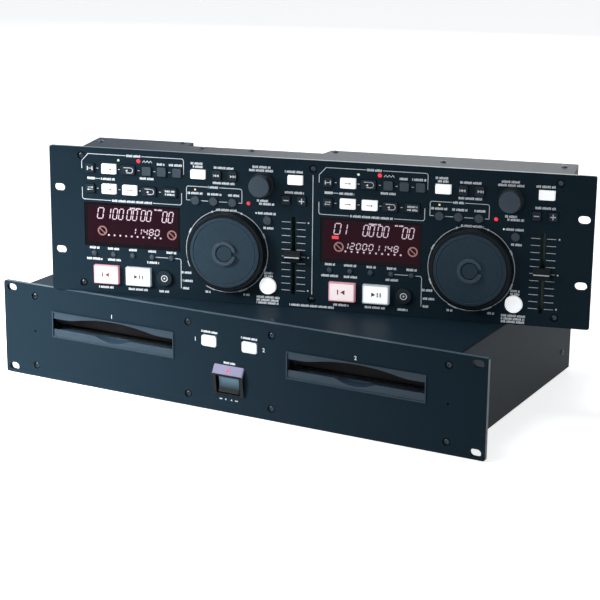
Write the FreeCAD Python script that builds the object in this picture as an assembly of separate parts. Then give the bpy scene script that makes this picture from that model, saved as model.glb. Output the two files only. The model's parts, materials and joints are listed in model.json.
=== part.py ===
import FreeCAD, Part
import math, os
from FreeCAD import Placement, Rotation, Vector

# Twin disc player for a disc jockey: a 2U rack unit with two slot-loading drives, and the 3U
# rack controller for it, which stands on the player's top cover. Millimetres, +Z up.
# Row frame: origin at the centre of the player's four rack slots, on the front face of its panel,
# +X to the right as the user sees it, +Y into the unit.
# Both units are drawn in panel coordinates: x from the panel's middle, y into the unit from its
# front face, z up from its lower edge. PLAYER_PLACE and CONTROLLER_PLACE then set them down.

# ---- rack standard ----
RACK_WIDTH = 482.6
RACK_UNIT = 44.45
RACK_SIDE_GAP = 0.8                    # a panel is this much lower than its rack units
SLOT_SPACING_X = 465.1
SLOT_LENGTH = 10.3
SLOT_HEIGHT = 6.8
PLAYER_HEIGHT = 2 * RACK_UNIT - RACK_SIDE_GAP
PLAYER_SLOT_SPACING_Z = 76.2
CONTROLLER_HEIGHT = 3 * RACK_UNIT - RACK_SIDE_GAP
CONTROLLER_SLOT_SPACING_Z = 57.15
PANEL_CORNER = 2.0

# ---- player unit ----
PLAYER_PANEL_THICK = 4.0
SHEET = 1.2
CASE_WIDTH = 431.0
CASE_REAR = 270.0
CASE_BOTTOM = 1.5                      # lower face of the chassis floor
CASE_TOP = 88.0                        # upper face of the cover
FLOOR_TOP = CASE_BOTTOM + SHEET
COVER_FIT = 0.1
FOOT_RADIUS = 10.0
FOOT_DROP = 1.0                        # how far the pads stand below the panel's edge
FOOT_X, FOOT_Y = 180.0, (40.0, 235.0)
DRIVE_X = 122.0                        # middle of each drive, its bezel and its disc slot
BEZEL_WIDTH, BEZEL_LOW, BEZEL_HIGH = 130.8, 41.1, 65.7
BEZEL_BACK = 9.0
BEZEL_PROUD = 0.8
BEZEL_RIM = 1.0
LIP_Z = 49.2                           # top of the lower lip that the disc slides over
MOUTH_HALF = 64.4
MOUTH_TOP = 58.8
ARCH_HALF, ARCH_RISE = 44.0, 5.2
SCOOP_HALF, SCOOP_DEPTH, SCOOP_SHOULDER = 21.5, 5.6, 14.0
SKIN = 4.0                             # depth of the open mouth in front of the slit
SLIT_HALF, SLIT_LOW, SLIT_HIGH = 62.0, 48.0, 52.6
DRIVE_HALF, DRIVE_FRONT, DRIVE_REAR, DRIVE_TOP = 73.0, 9.2, 181.0, 54.4
DRIVE_WALL = 1.5
DECK_PLATE_TOP = 47.8
ROLLER_Y, ROLLER_Z, ROLLER_R, ROLLER_SHAFT_R = 22.0, 43.6, 4.0, 1.5
SPINDLE_Y = 78.0
TURNTABLE_R, TURNTABLE_TOP = 14.0, 46.2
SPINDLE_R = 1.0
RUNNING_FIT = 0.05                     # radial clearance of a shaft in its bush
EJECT_X, EJECT_Z, EJECT_W, EJECT_H = 20.3, 62.9, 15.2, 10.0
POWER_Z, POWER_W, POWER_H = 29.8, 31.0, 27.0
POWER_WINDOW_W, POWER_WINDOW_H, POWER_WINDOW_Z = 23.4, 16.4, 25.9
POWER_CAP_W, POWER_CAP_H, POWER_STEM = 20.4, 14.2, 6.0
PLAYER_SCREW_X, PLAYER_SCREW_Z = (206.7, 42.0), (10.8, 77.1)
PINHOLE_X, PINHOLE_Z, PINHOLE_R = 207.0, 43.6, 1.1
JACK_X, JACK_STEP, JACK_MID_Z, JACK_PLATE_W, JACK_PLATE_H = 68.0, 16.0, 40.0, 46.0, 13.0
JACK_R, JACK_LENGTH, JACK_BORE_R = 4.15, 9.0, 1.7
REMOTE_X, REMOTE_Z, REMOTE_R, REMOTE_SIDE = 15.0, 33.0, 6.6, 15.0
INLET_X, INLET_Z, INLET_W, INLET_H = 170.0, 26.0, 27.4, 20.0

# ---- controller unit ----
CONTROLLER_X, CONTROLLER_Y, CONTROLLER_YAW = 50.6, 56.5, 14.3
STAND_GAP = 0.2                        # air between the cover and the unit that stands on it
CTRL_PANEL_THICK = 3.0
CTRL_CASE_HALF, CTRL_CASE_LOW, CTRL_CASE_HIGH = 219.6, 0.3, 128.0
CTRL_CASE_REAR = 70.0
BAY_LEFT, BAY_RIGHT, BAY_WALL_Y = -129.0, -4.0, 54.0
BAY_SOCKET_X, BAY_SOCKET_Z = (-98.0, -48.0), 40.0
CTRL_SHEET = 1.5
BOARD_Y, BOARD_THICK = 12.0, 1.6
DECK_PITCH = 216.4
CTRL_SCREW_X, CTRL_SCREW_Z = (-211.5, 0.0, 211.5), (8.4, 124.8)
TAB_HALF, TAB_LOW, TAB_HIGH = 5.0, 15.5, 120.0     # case tabs that the panel's screws go through

# ---- screws and keys ----
SCREW_HEAD_R, SCREW_SHANK, SCREW_SINK_R, SCREW_SINK = 2.7, 2.4, 3.6, 1.5
KEY_GAP = 0.4                          # clearance of a key in its panel hole, all round
FLANGE = 1.1                           # how far a key's stop flange reaches under the panel
FLANGE_Y, FLANGE_THICK = 0.3, 1.2      # gap behind the panel, and thickness
KEY_END = 10.6                         # where a key's stem ends, short of the board

# ---- one deck of the controller, x from the middle of the deck ----
ROW_1_Z, ROW_2_Z = 114.0, 95.9
SMALL_KEY, WHITE_KEY, WIDE_KEY, JUMP_KEY = (8.0, 7.8), (13.4, 8.8), (12.8, 8.0), (7.8, 8.6)
START_KEYS = ((-77.4, ROW_1_Z), (-77.4, ROW_2_Z), (-58.2, ROW_2_Z))
SMALL_OPTION_KEYS = ((-94.8, ROW_1_Z), (-42.2, ROW_1_Z), (-28.3, ROW_1_Z), (-14.3, ROW_1_Z), (-94.8, ROW_2_Z))
WIDE_OPTION_KEYS = ((-59.3, ROW_1_Z), (-40.1, ROW_2_Z), (-20.8, ROW_2_Z))
NEXT_TRACK_X, DISC_EJECT_X, TOP_KEY = 4.9, 92.4, (13.2, 8.0)
JUMP_X = (22.1, 36.2)
BEND_X, BEND_KEY = (84.6, 98.5), (7.6, 7.6)
EFFECT_X, EFFECT_Z, EFFECT_R = (2.4, 18.9, 36.2), 90.6, 3.8
RANGE_X, RANGE_Z = 67.8, 76.8
DOT_KEY_X, DOT_KEY_STEP, DOT_KEY_Z, DOT_KEY_R = -92.5, 18.1, 36.5, 2.3
CUE_X, PLAY_X, BIG_KEY_Z, BIG_KEY = -81.0, -50.9, 17.6, (23.4, 17.0)
TAP_X, TAP_R, SCRATCH_X, SCRATCH_R, ROUND_Z = -26.4, 7.0, 68.5, 7.3, 17.9
JOG_X, JOG_Z = 31.0, 46.5
JOG_R, JOG_FACE = 31.6, 8.0
RING_INNER, RING_OUTER, RING_FACE = 32.0, 35.3, 7.2
HUB_R, HUB_FACE, HUB_DISH_R = 10.8, 10.0, 7.6
SHAFT_R, SHAFT_END = 3.0, 15.0
KNOB_X, KNOB_Z, KNOB_R, KNOB_SKIRT_R, KNOB_FACE = 63.0, 108.6, 9.4, 10.6, 12.5
SHAFT_PLACES = ((JOG_X, JOG_Z), (KNOB_X, KNOB_Z))
PITCH_X, PITCH_Z, PITCH_SLOT_W, PITCH_SLOT_L = 91.4, 46.5, 3.2, 70.0
WINDOW_X, WINDOW_Z, WINDOW_W, WINDOW_H = -56.5, 63.0, 89.6, 40.0

PLAYER_PLACE = Placement(Vector(0, 0, -PLAYER_HEIGHT / 2), Rotation())
CONTROLLER_PLACE = Placement(
    Vector(CONTROLLER_X, CONTROLLER_Y, CASE_TOP + STAND_GAP - PLAYER_HEIGHT / 2),
    Rotation(Vector(0, 0, 1), CONTROLLER_YAW))
DECKS = ((1, -DECK_PITCH / 2), (2, DECK_PITCH / 2))
DRIVES = ((1, -DRIVE_X), (2, DRIVE_X))


# ---------------------------------------------------------------- helpers

def box(x0, x1, y0, y1, z0, z1):
    return Part.makeBox(x1 - x0, y1 - y0, z1 - z0, Vector(x0, y0, z0))


def block(x, z, width, height, y0, y1):
    """A box centred on x, z, from depth y0 to depth y1."""
    return box(x - width / 2, x + width / 2, y0, y1, z - height / 2, z + height / 2)


def rod(x, z, radius, y0, y1):
    """A cylinder along Y."""
    return Part.makeCylinder(radius, y1 - y0, Vector(x, y0, z), Vector(0, 1, 0))


def upright(x, y, radius, z0, z1):
    """A cylinder along Z."""
    return Part.makeCylinder(radius, z1 - z0, Vector(x, y, z0), Vector(0, 0, 1))


def prism(points, y0, y1):
    """A prism along Y from an outline of (x, z) points."""
    corners = [Vector(x, y0, z) for x, z in points]
    return Part.Face(Part.makePolygon(corners + corners[:1])).extrude(Vector(0, y1 - y0, 0))


def section(points, x0, x1):
    """A prism along X from an outline of (y, z) points."""
    corners = [Vector(x0, y, z) for y, z in points]
    return Part.Face(Part.makePolygon(corners + corners[:1])).extrude(Vector(x1 - x0, 0, 0))


def turned(profile, x=0.0, z=0.0):
    """A solid of revolution about an axis along Y, from a closed outline of (radius, y) points."""
    corners = [Vector(radius, y, 0) for radius, y in profile]
    face = Part.Face(Part.makePolygon(corners + corners[:1]))
    solid = face.revolve(Vector(0, 0, 0), Vector(0, 1, 0), 360)
    solid.translate(Vector(x, 0, z))
    return solid


def cut(base, *tools):
    return base.cut(Part.makeCompound(list(tools)))


def join(base, *others):
    return base.fuse(list(others)).removeSplitter()


def slot_hole(x, z, depth):
    """A rack slot: an oval along X through a panel."""
    radius = SLOT_HEIGHT / 2
    reach = (SLOT_LENGTH - SLOT_HEIGHT) / 2
    middle = block(x, z, 2 * reach, SLOT_HEIGHT, -1, depth + 1)
    return join(middle, rod(x - reach, z, radius, -1, depth + 1), rod(x + reach, z, radius, -1, depth + 1))


def rack_panel(height, thick, slot_spacing):
    """A rack panel with rounded corners and its four slots."""
    panel = block(0, height / 2, RACK_WIDTH, height, 0, thick)
    corners = [edge for edge in panel.Edges
               if abs(edge.tangentAt(edge.FirstParameter).y) > 0.99]
    panel = panel.makeFillet(PANEL_CORNER, corners)
    slots = [slot_hole(side * SLOT_SPACING_X / 2, height / 2 + end * slot_spacing / 2, thick)
             for side in (-1, 1) for end in (-1, 1)]
    return cut(panel, *slots)


def shank_hole(x, z, y0, y1):
    return block(x, z, SCREW_SHANK + 0.3, SCREW_SHANK + 0.3, y0, y1)


def sunk_hole(x, z, thick):
    """A counterbored screw hole through a panel."""
    return join(rod(x, z, SCREW_SINK_R, -1, SCREW_SINK), shank_hole(x, z, 0, thick + 1))


def panel_screw(x, z):
    """A screw seated on the floor of its counterbore, its threaded shank a plain square."""
    return join(rod(x, z, SCREW_HEAD_R, 0.2, SCREW_SINK), block(x, z, SCREW_SHANK, SCREW_SHANK, 1.0, 8.0))


def save(name, shapes, place):
    solid = shapes[0].copy() if len(shapes) == 1 else Part.makeCompound(shapes)
    solid.Placement = place.multiply(solid.Placement)
    if not solid.isValid():
        raise ValueError(name + " is not valid")
    solid.exportStep("parts/" + name + ".step")
    print("%-24s solids %2d  volume %10.1f" % (name, len(solid.Solids), solid.Volume))


# ---------------------------------------------------------------- player: slot bezel

def scoop_edges(y, depth):
    """The lower lip's edge: two straights and an S-shaped dip to the finger scoop, as arcs."""
    turn = 2 * math.atan(depth / SCOOP_HALF)
    both_radii = SCOOP_HALF / math.sin(turn)
    floor_radius = both_radii - SCOOP_SHOULDER
    half = turn / 2

    def point(x, drop):
        return Vector(x, y, LIP_Z - drop)
    join_x = SCOOP_HALF - SCOOP_SHOULDER * math.sin(turn)
    join_drop = SCOOP_SHOULDER * (1 - math.cos(turn))
    shoulder_x = SCOOP_HALF - SCOOP_SHOULDER * math.sin(half)
    shoulder_drop = SCOOP_SHOULDER * (1 - math.cos(half))
    start, end = point(-SCOOP_HALF, 0), point(SCOOP_HALF, 0)
    left, right = point(-join_x, join_drop), point(join_x, join_drop)
    bottom = point(0, depth)
    assert floor_radius > 0
    return [Part.Arc(start, point(-shoulder_x, shoulder_drop), left).toShape(),
            Part.Arc(left, bottom, right).toShape(),
            Part.Arc(right, point(shoulder_x, shoulder_drop), end).toShape()]


def scoop_wire(y, depth):
    """The finger scoop's outline at depth y, closed just above the lip."""
    edges = scoop_edges(y, depth)
    start, end = Vector(-SCOOP_HALF, y, LIP_Z), Vector(SCOOP_HALF, y, LIP_Z)
    high_start, high_end = start + Vector(0, 0, 0.6), end + Vector(0, 0, 0.6)
    closing = [Part.makeLine(end, high_end), Part.makeLine(high_end, high_start),
               Part.makeLine(high_start, start)]
    return Part.Wire(edges + closing)


def arch_wire(y, half, low, spring, rise):
    """A low arch at depth y: a flat foot, two short sides and one arc over the top."""
    foot = [Vector(-half, y, low), Vector(half, y, low)]
    springs = [Vector(half, y, spring), Vector(-half, y, spring)]
    crown = Part.Arc(springs[0], Vector(0, y, spring + rise), springs[1]).toShape()
    return Part.Wire([Part.makeLine(foot[0], foot[1]), Part.makeLine(foot[1], springs[0]),
                      crown, Part.makeLine(springs[1], foot[0])])


def slot_bezel(x):
    """Moulded bezel: raised rim, arched mouth, a hollow that leads in to the slit, a finger scoop."""
    half = BEZEL_WIDTH / 2
    body = box(-half, half, -BEZEL_PROUD, BEZEL_BACK, BEZEL_LOW, BEZEL_HIGH)
    face = box(-half + BEZEL_RIM, half - BEZEL_RIM, -BEZEL_PROUD - 1, 0.2,
               BEZEL_LOW + BEZEL_RIM, BEZEL_HIGH - BEZEL_RIM)
    mouth = box(-MOUTH_HALF, MOUTH_HALF, -2, SKIN, LIP_Z, MOUTH_TOP)
    arch = Part.Face(arch_wire(-2, ARCH_HALF, LIP_Z, MOUTH_TOP, ARCH_RISE)).extrude(Vector(0, 3.4, 0))
    hollow = Part.makeLoft([arch_wire(1.2, ARCH_HALF, LIP_Z, MOUTH_TOP, ARCH_RISE - 1.2),
                            arch_wire(BEZEL_BACK - 0.4, ARCH_HALF - 6, SLIT_HIGH - 3,
                                      SLIT_HIGH - 0.6, 0.5)], True, True)
    slit = box(-SLIT_HALF, SLIT_HALF, 1, BEZEL_BACK + 1, SLIT_LOW, SLIT_HIGH)
    lead_in = section([(1.0, LIP_Z + 0.01), (SKIN, SLIT_LOW), (SKIN + 1, SLIT_LOW), (SKIN + 1, SLIT_HIGH),
                       (1.0, SLIT_HIGH)], -SLIT_HALF, SLIT_HALF)
    scoop = Part.makeLoft([scoop_wire(-2, SCOOP_DEPTH), scoop_wire(BEZEL_BACK - 2, SCOOP_DEPTH * 0.35)],
                          True, True)
    slit = cut(slit, box(-SLIT_HALF, SLIT_HALF, 0, SKIN, SLIT_LOW - 1, LIP_Z))
    bezel = body
    for tool in (face, mouth, arch, hollow, slit, lead_in, scoop):
        bezel = bezel.cut(tool)
    bezel.translate(Vector(x, 0, 0))
    return bezel


# ---------------------------------------------------------------- player: housing

def player_front_panel():
    panel = rack_panel(PLAYER_HEIGHT, PLAYER_PANEL_THICK, PLAYER_SLOT_SPACING_Z)
    bezel_z = (BEZEL_LOW + BEZEL_HIGH) / 2
    bezel_h = BEZEL_HIGH - BEZEL_LOW
    back = PLAYER_PANEL_THICK + 1
    holes = [block(x, bezel_z, BEZEL_WIDTH + 0.2, bezel_h + 0.2, -1, back) for _, x in DRIVES]
    holes += [block(side * EJECT_X, EJECT_Z, EJECT_W + 2 * KEY_GAP, EJECT_H + 2 * KEY_GAP, -1, back)
              for side in (-1, 1)]
    holes.append(block(0, POWER_WINDOW_Z, POWER_WINDOW_W + 3.2, POWER_WINDOW_H + 3.2, -1, back))
    holes += [sunk_hole(side * x, z, PLAYER_PANEL_THICK)
              for side in (-1, 1) for x in PLAYER_SCREW_X for z in PLAYER_SCREW_Z]
    holes += [rod(side * PINHOLE_X, PINHOLE_Z, PINHOLE_R, -1, back) for side in (-1, 1)]
    return cut(panel, *holes)


def player_chassis():
    """Folded tray: floor, low side flanges, a front wall behind the panel and the rear wall."""
    half = CASE_WIDTH / 2 - SHEET - COVER_FIT
    top = CASE_TOP - SHEET - COVER_FIT
    front = PLAYER_PANEL_THICK
    floor = box(-half, half, front, CASE_REAR, CASE_BOTTOM, FLOOR_TOP)
    front_wall = box(-half, half, front, front + SHEET, CASE_BOTTOM, top)
    rear_wall = box(-half, half, CASE_REAR - SHEET, CASE_REAR, CASE_BOTTOM, top)
    flanges = [box(min(side * half, side * (half - SHEET)), max(side * half, side * (half - SHEET)),
                   front, CASE_REAR, CASE_BOTTOM, FLOOR_TOP + 12) for side in (-1, 1)]
    tray = join(floor, front_wall, rear_wall, *flanges)
    bezel_z = (BEZEL_LOW + BEZEL_HIGH) / 2
    bezel_h = BEZEL_HIGH - BEZEL_LOW
    y0, y1 = front - 1, front + SHEET + 1
    windows = [block(x, bezel_z, BEZEL_WIDTH + 0.6, bezel_h + 0.6, y0, y1) for _, x in DRIVES]
    windows += [block(side * EJECT_X, EJECT_Z, EJECT_W + 4, EJECT_H + 4, y0, y1) for side in (-1, 1)]
    windows.append(block(0, POWER_WINDOW_Z, POWER_WINDOW_W + 4, POWER_WINDOW_H + 4, y0, y1))
    windows += [shank_hole(side * x, z, y0, y1)
                for side in (-1, 1) for x in PLAYER_SCREW_X for z in PLAYER_SCREW_Z]
    y0, y1 = CASE_REAR - SHEET - 1, CASE_REAR + 1
    windows += [block(side * JACK_X, JACK_MID_Z, JACK_PLATE_W, JACK_PLATE_H, y0, y1) for side in (-1, 1)]
    windows += [block(x, REMOTE_Z, REMOTE_SIDE, REMOTE_SIDE, y0, y1) for x in (-REMOTE_X, REMOTE_X)]
    windows.append(block(INLET_X, INLET_Z, INLET_W + 0.4, INLET_H + 0.4, y0, y1))
    return cut(tray, *windows)


def player_top_cover():
    """Folded cover: the top and both sides."""
    half = CASE_WIDTH / 2
    outer = box(-half, half, PLAYER_PANEL_THICK, CASE_REAR, CASE_BOTTOM + 0.3, CASE_TOP)
    edges = [edge for edge in outer.Edges if abs(edge.tangentAt(edge.FirstParameter).y) > 0.99
             and edge.CenterOfMass.z > CASE_TOP - 1]
    outer = outer.makeFillet(1.6, edges)
    inner = box(-half + SHEET, half - SHEET, 0, CASE_REAR + 1, 0, CASE_TOP - SHEET)
    return cut(outer, inner)


def player_screws():
    return [panel_screw(side * x, z) for side in (-1, 1) for x in PLAYER_SCREW_X for z in PLAYER_SCREW_Z]


def player_feet():
    return [upright(side * FOOT_X, y, FOOT_RADIUS, -FOOT_DROP, CASE_BOTTOM)
            for side in (-1, 1) for y in FOOT_Y]


def power_switch_frame():
    """Moulded surround of the power button: a sloped hood above it and a sleeve through the panel."""
    low, high = POWER_Z - POWER_H / 2, POWER_Z + POWER_H / 2
    hood = section([(0, low), (0, high), (-4.2, high - 7.4), (-4.2, high - 8.6), (-1.4, low + 0.6)],
                   -POWER_W / 2, POWER_W / 2)
    corners = [edge for edge in hood.Edges
               if edge.Length < POWER_W and abs(edge.CenterOfMass.x) > POWER_W / 2 - 0.1
               and edge.CenterOfMass.z > high - 5 and edge.CenterOfMass.y < -0.5]
    hood = hood.makeFillet(1.6, corners)
    sleeve = block(0, POWER_WINDOW_Z, POWER_WINDOW_W + 3, POWER_WINDOW_H + 3, 0, 8)
    window = block(0, POWER_WINDOW_Z, POWER_WINDOW_W, POWER_WINDOW_H, -6, 9)
    return cut(join(hood, sleeve), window)


def power_button():
    """Push button with a hollowed face, on a square stem."""
    low, high = POWER_WINDOW_Z - POWER_CAP_H / 2, POWER_WINDOW_Z + POWER_CAP_H / 2
    cap = box(-POWER_CAP_W / 2, POWER_CAP_W / 2, -1.6, 5, low, high)
    dish_r = 22.0
    dish_y = -1.6 - dish_r + 1.3
    dish = Part.makeCylinder(dish_r, POWER_CAP_W + 2, Vector(-POWER_CAP_W / 2 - 1, dish_y, POWER_WINDOW_Z),
                             Vector(1, 0, 0))
    stem = block(0, POWER_WINDOW_Z, POWER_STEM, POWER_STEM, 4, 16.5)
    return join(cut(cap, dish), stem)


def eject_button(x):
    """White key with clipped corners, a stop flange behind the panel and a stem."""
    half_w, half_h, clip, front = EJECT_W / 2, EJECT_H / 2, 1.4, -0.7
    outline = [(-half_w, -half_h + clip), (-half_w, half_h - clip), (-half_w + clip, half_h),
               (half_w - clip, half_h), (half_w, half_h - clip), (half_w, -half_h + clip),
               (half_w - clip, -half_h), (-half_w + clip, -half_h)]
    cap = prism([(x + px, EJECT_Z + pz) for px, pz in outline], front, 6.6)
    rim = block(x, EJECT_Z, EJECT_W + 2, EJECT_H + 2, PLAYER_PANEL_THICK + 0.3, 6.6)
    stem = block(x, EJECT_Z, 4, 4, 6, 12.9)
    return join(cap, rim, stem)


# ---------------------------------------------------------------- player: drives

def drive_unit(x):
    """Drive frame with its disc bay, roller trough, turntable well and spindle motor."""
    half, wall = DRIVE_HALF, DRIVE_WALL
    frame = box(-half, half, DRIVE_FRONT, DRIVE_REAR, FLOOR_TOP, DRIVE_TOP)
    bay = box(-SLIT_HALF, SLIT_HALF, DRIVE_FRONT - 1, SPINDLE_Y + 66, DECK_PLATE_TOP, SLIT_HIGH + 0.4)
    below = box(-half + wall, half - wall, DRIVE_FRONT + wall, DRIVE_REAR - wall,
                FLOOR_TOP - 1, DECK_PLATE_TOP - wall)
    trough = box(-60, 60, ROLLER_Y - 5.5, ROLLER_Y + 5.5, ROLLER_Z - 8, SLIT_HIGH)
    reach = TURNTABLE_R + 2
    well = box(-reach, reach, SPINDLE_Y - reach, SPINDLE_Y + reach, ROLLER_Z - 8, SLIT_HIGH)
    bearing = Part.makeCylinder(ROLLER_SHAFT_R + RUNNING_FIT, 2 * half + 2,
                                Vector(-half - 1, ROLLER_Y, ROLLER_Z), Vector(1, 0, 0))
    frame = cut(frame, bay, below, trough, well, bearing)
    motor_top = TURNTABLE_TOP - 4
    motor = cut(upright(0, SPINDLE_Y, 12.5, 24, motor_top),
                upright(0, SPINDLE_Y, SPINDLE_R + 0.04, 30, motor_top + 1))
    carrier = box(-half + wall, half - wall, SPINDLE_Y - 18, SPINDLE_Y + 18, 22.5, 24)
    solids = [frame, motor, carrier]
    for solid in solids:
        solid.translate(Vector(x, 0, 0))
    return solids


def loading_roller(x):
    """Rubber roller on a steel shaft that runs in the drive frame's side walls."""
    def along(radius, half):
        return Part.makeCylinder(radius, 2 * half, Vector(x - half, ROLLER_Y, ROLLER_Z), Vector(1, 0, 0))
    return join(along(ROLLER_R, 56), along(ROLLER_SHAFT_R, DRIVE_HALF + 1))


def disc_spindle(x):
    """Turntable with its centring cone, on the motor's shaft."""
    profile = [(0, 31), (SPINDLE_R, 31), (SPINDLE_R, TURNTABLE_TOP - 1.2),
               (TURNTABLE_R, TURNTABLE_TOP - 1.2), (TURNTABLE_R, TURNTABLE_TOP), (7.3, TURNTABLE_TOP),
               (6.4, TURNTABLE_TOP + 1.5), (0, TURNTABLE_TOP + 1.5)]
    corners = [Vector(radius, 0, z) for radius, z in profile]
    face = Part.Face(Part.makePolygon(corners + corners[:1]))
    solid = face.revolve(Vector(0, 0, 0), Vector(0, 0, 1), 360)
    solid.translate(Vector(x, SPINDLE_Y, 0))
    return solid


# ---------------------------------------------------------------- player: electronics and rear

def jack_places():
    """Left and right line outputs over one digital output, for each drive."""
    return [(side * JACK_X + step, z) for side in (-1, 1)
            for step, z in ((-JACK_STEP, JACK_MID_Z), (0, JACK_MID_Z), (JACK_STEP, JACK_MID_Z))]


def remote_socket(x, z, wall_y):
    """Round multi-pin socket on a square body, in a wall whose outer face is at wall_y."""
    body = join(block(x, z, REMOTE_SIDE - 0.4, REMOTE_SIDE - 0.4, wall_y - 12, wall_y + 0.4),
                rod(x, z, REMOTE_R, wall_y, wall_y + 2.4))
    recess = rod(x, z, REMOTE_R - 1.4, wall_y - 7, wall_y + 3)
    pins = block(x, z, 5.0, 3.4, wall_y - 8, wall_y)
    return join(cut(body, recess), pins)


def player_rear_sockets():
    """Two plates of three phono jacks, and a round remote socket for each drive."""
    solids = []
    for side in (-1, 1):
        solids.append(block(side * JACK_X, JACK_MID_Z, JACK_PLATE_W - 0.4, JACK_PLATE_H - 0.4,
                            CASE_REAR - 10, CASE_REAR + 0.4))
    for x, z in jack_places():
        jack = rod(x, z, JACK_R, CASE_REAR + 0.4, CASE_REAR + JACK_LENGTH)
        solids.append(cut(jack, rod(x, z, JACK_BORE_R, CASE_REAR + 1, CASE_REAR + JACK_LENGTH + 1)))
    solids += [remote_socket(x, REMOTE_Z, CASE_REAR) for x in (-REMOTE_X, REMOTE_X)]
    return solids


def mains_inlet():
    """Appliance inlet: flange outside the rear wall, a hollow with three blades."""
    inside = CASE_REAR - SHEET
    body = join(block(INLET_X, INLET_Z, INLET_W, INLET_H, inside - 20, CASE_REAR + 1),
                block(INLET_X, INLET_Z, INLET_W + 5, INLET_H + 5, CASE_REAR, CASE_REAR + 2))
    hollow = block(INLET_X, INLET_Z, 24.4, 16.6, CASE_REAR - 14, CASE_REAR + 3)
    blades = [block(INLET_X + dx, INLET_Z + dz, 2, 4, CASE_REAR - 15, CASE_REAR - 0.5)
              for dx, dz in ((-7, -3.6), (7, -3.6), (0, 0.4))]
    return join(cut(body, hollow), *blades)


def board_with_posts(x0, x1, y0, y1, z):
    """A flat board on four posts that stand on the chassis floor."""
    board = box(x0, x1, y0, y1, z, z + BOARD_THICK)
    posts = [box(x - 3, x + 3, y - 3, y + 3, FLOOR_TOP, z) for x in (x0 + 6, x1 - 6) for y in (y0 + 6, y1 - 6)]
    return [board] + posts


def player_main_board():
    """Main board behind the drives, with its chips, and the small key board behind the panel."""
    board_z = 8.0
    solids = board_with_posts(-205, 140, 188, 256, board_z)
    top = board_z + BOARD_THICK
    solids += [box(x - 12, x + 12, 205, 229, top, top + 3) for x in (-150, -90, 90)]
    solids += [box(-30, 14, 214, 242, top, top + 4)]
    key_board_y = 14.0
    solids.append(block(0, EJECT_Z, 74, 18, key_board_y, key_board_y + BOARD_THICK))
    solids += [block(side * 34, EJECT_Z, 5, 5, PLAYER_PANEL_THICK + SHEET, key_board_y) for side in (-1, 1)]
    return solids


def power_supply():
    """Power board with its transformer, two capacitors and a heat sink, and the mains switch."""
    board_z = 8.0
    solids = board_with_posts(-44, 44, 60, 178, board_z)
    top = board_z + BOARD_THICK
    solids.append(join(box(-26, 26, 120, 162, top, top + 12), box(-20, 20, 114, 168, top + 12, top + 34),
                       box(-26, 26, 120, 162, top + 34, top + 44)))
    solids += [upright(x, 88, 9, top, top + 30) for x in (-30, -6)]
    fins = [box(16, 40, y, y + 1.6, top + 4, top + 32) for y in range(74, 104, 7)]
    solids.append(join(box(16, 40, 72, 106, top, top + 4), *fins))
    switch = join(block(0, POWER_WINDOW_Z, 16, 14, 11, 40),
                  box(-8, 8, 30, 33, FLOOR_TOP, POWER_WINDOW_Z), box(-8, 8, 24, 40, FLOOR_TOP, FLOOR_TOP + 1.5))
    socket = block(0, POWER_WINDOW_Z, POWER_STEM + 0.8, POWER_STEM + 0.8, 10, 20)
    solids.append(cut(switch, socket))
    return solids


# ---------------------------------------------------------------- controller: housing

def rect_keys(deck_x):
    """Every straight-sided key of one deck as (node, x, z, size, proud)."""
    keys = [("start_keys", x, z, WHITE_KEY, 1.5) for x, z in START_KEYS]
    keys += [("option_keys", x, z, SMALL_KEY, 1.5) for x, z in SMALL_OPTION_KEYS]
    keys += [("option_keys", x, z, WIDE_KEY, 1.5) for x, z in WIDE_OPTION_KEYS]
    keys += [("jump_keys", x, ROW_1_Z, JUMP_KEY, 1.5) for x in JUMP_X]
    keys += [("next_track_key", NEXT_TRACK_X, ROW_1_Z, TOP_KEY, 1.5)]
    keys += [("disc_eject_key", DISC_EJECT_X, ROW_1_Z, TOP_KEY, 1.5)]
    keys += [("bend_minus_key", BEND_X[0], ROW_2_Z, BEND_KEY, 1.5)]
    keys += [("bend_plus_key", BEND_X[1], ROW_2_Z, BEND_KEY, 1.5)]
    keys += [("cue_button", CUE_X, BIG_KEY_Z, BIG_KEY, 2.6), ("play_button", PLAY_X, BIG_KEY_Z, BIG_KEY, 2.6)]
    return [(node, deck_x + x, z, size, proud) for node, x, z, size, proud in keys]


def round_keys(deck_x):
    """Every round key of one deck as (node, x, z, radius, proud)."""
    keys = [("round_keys", x, EFFECT_Z, EFFECT_R, 1.3) for x in EFFECT_X]
    keys += [("round_keys", RANGE_X, RANGE_Z, EFFECT_R, 1.3)]
    keys += [("round_keys", DOT_KEY_X + i * DOT_KEY_STEP, DOT_KEY_Z, DOT_KEY_R, 1.0) for i in range(5)]
    keys += [("tap_button", TAP_X, ROUND_Z, TAP_R, 2.0), ("scratch_button", SCRATCH_X, ROUND_Z, SCRATCH_R, 2.0)]
    return [(node, deck_x + x, z, radius, proud) for node, x, z, radius, proud in keys]


def deck_holes(deck_x):
    """What one deck cuts in the controller panel."""
    y0, y1 = -1, CTRL_PANEL_THICK + 1
    holes = [block(x, z, w + 2 * KEY_GAP, h + 2 * KEY_GAP, y0, y1) for _, x, z, (w, h), _ in rect_keys(deck_x)]
    holes += [rod(x, z, radius + KEY_GAP, y0, y1) for _, x, z, radius, _ in round_keys(deck_x)]
    holes.append(block(deck_x + WINDOW_X, WINDOW_Z, WINDOW_W, WINDOW_H, y0, y1))
    holes.append(block(deck_x + PITCH_X, PITCH_Z, PITCH_SLOT_W, PITCH_SLOT_L, y0, y1))
    shaft_hole = 2 * SHAFT_R + 1.2
    holes += [block(deck_x + x, z, shaft_hole, shaft_hole, y0, y1) for x, z in SHAFT_PLACES]
    return holes


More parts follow.
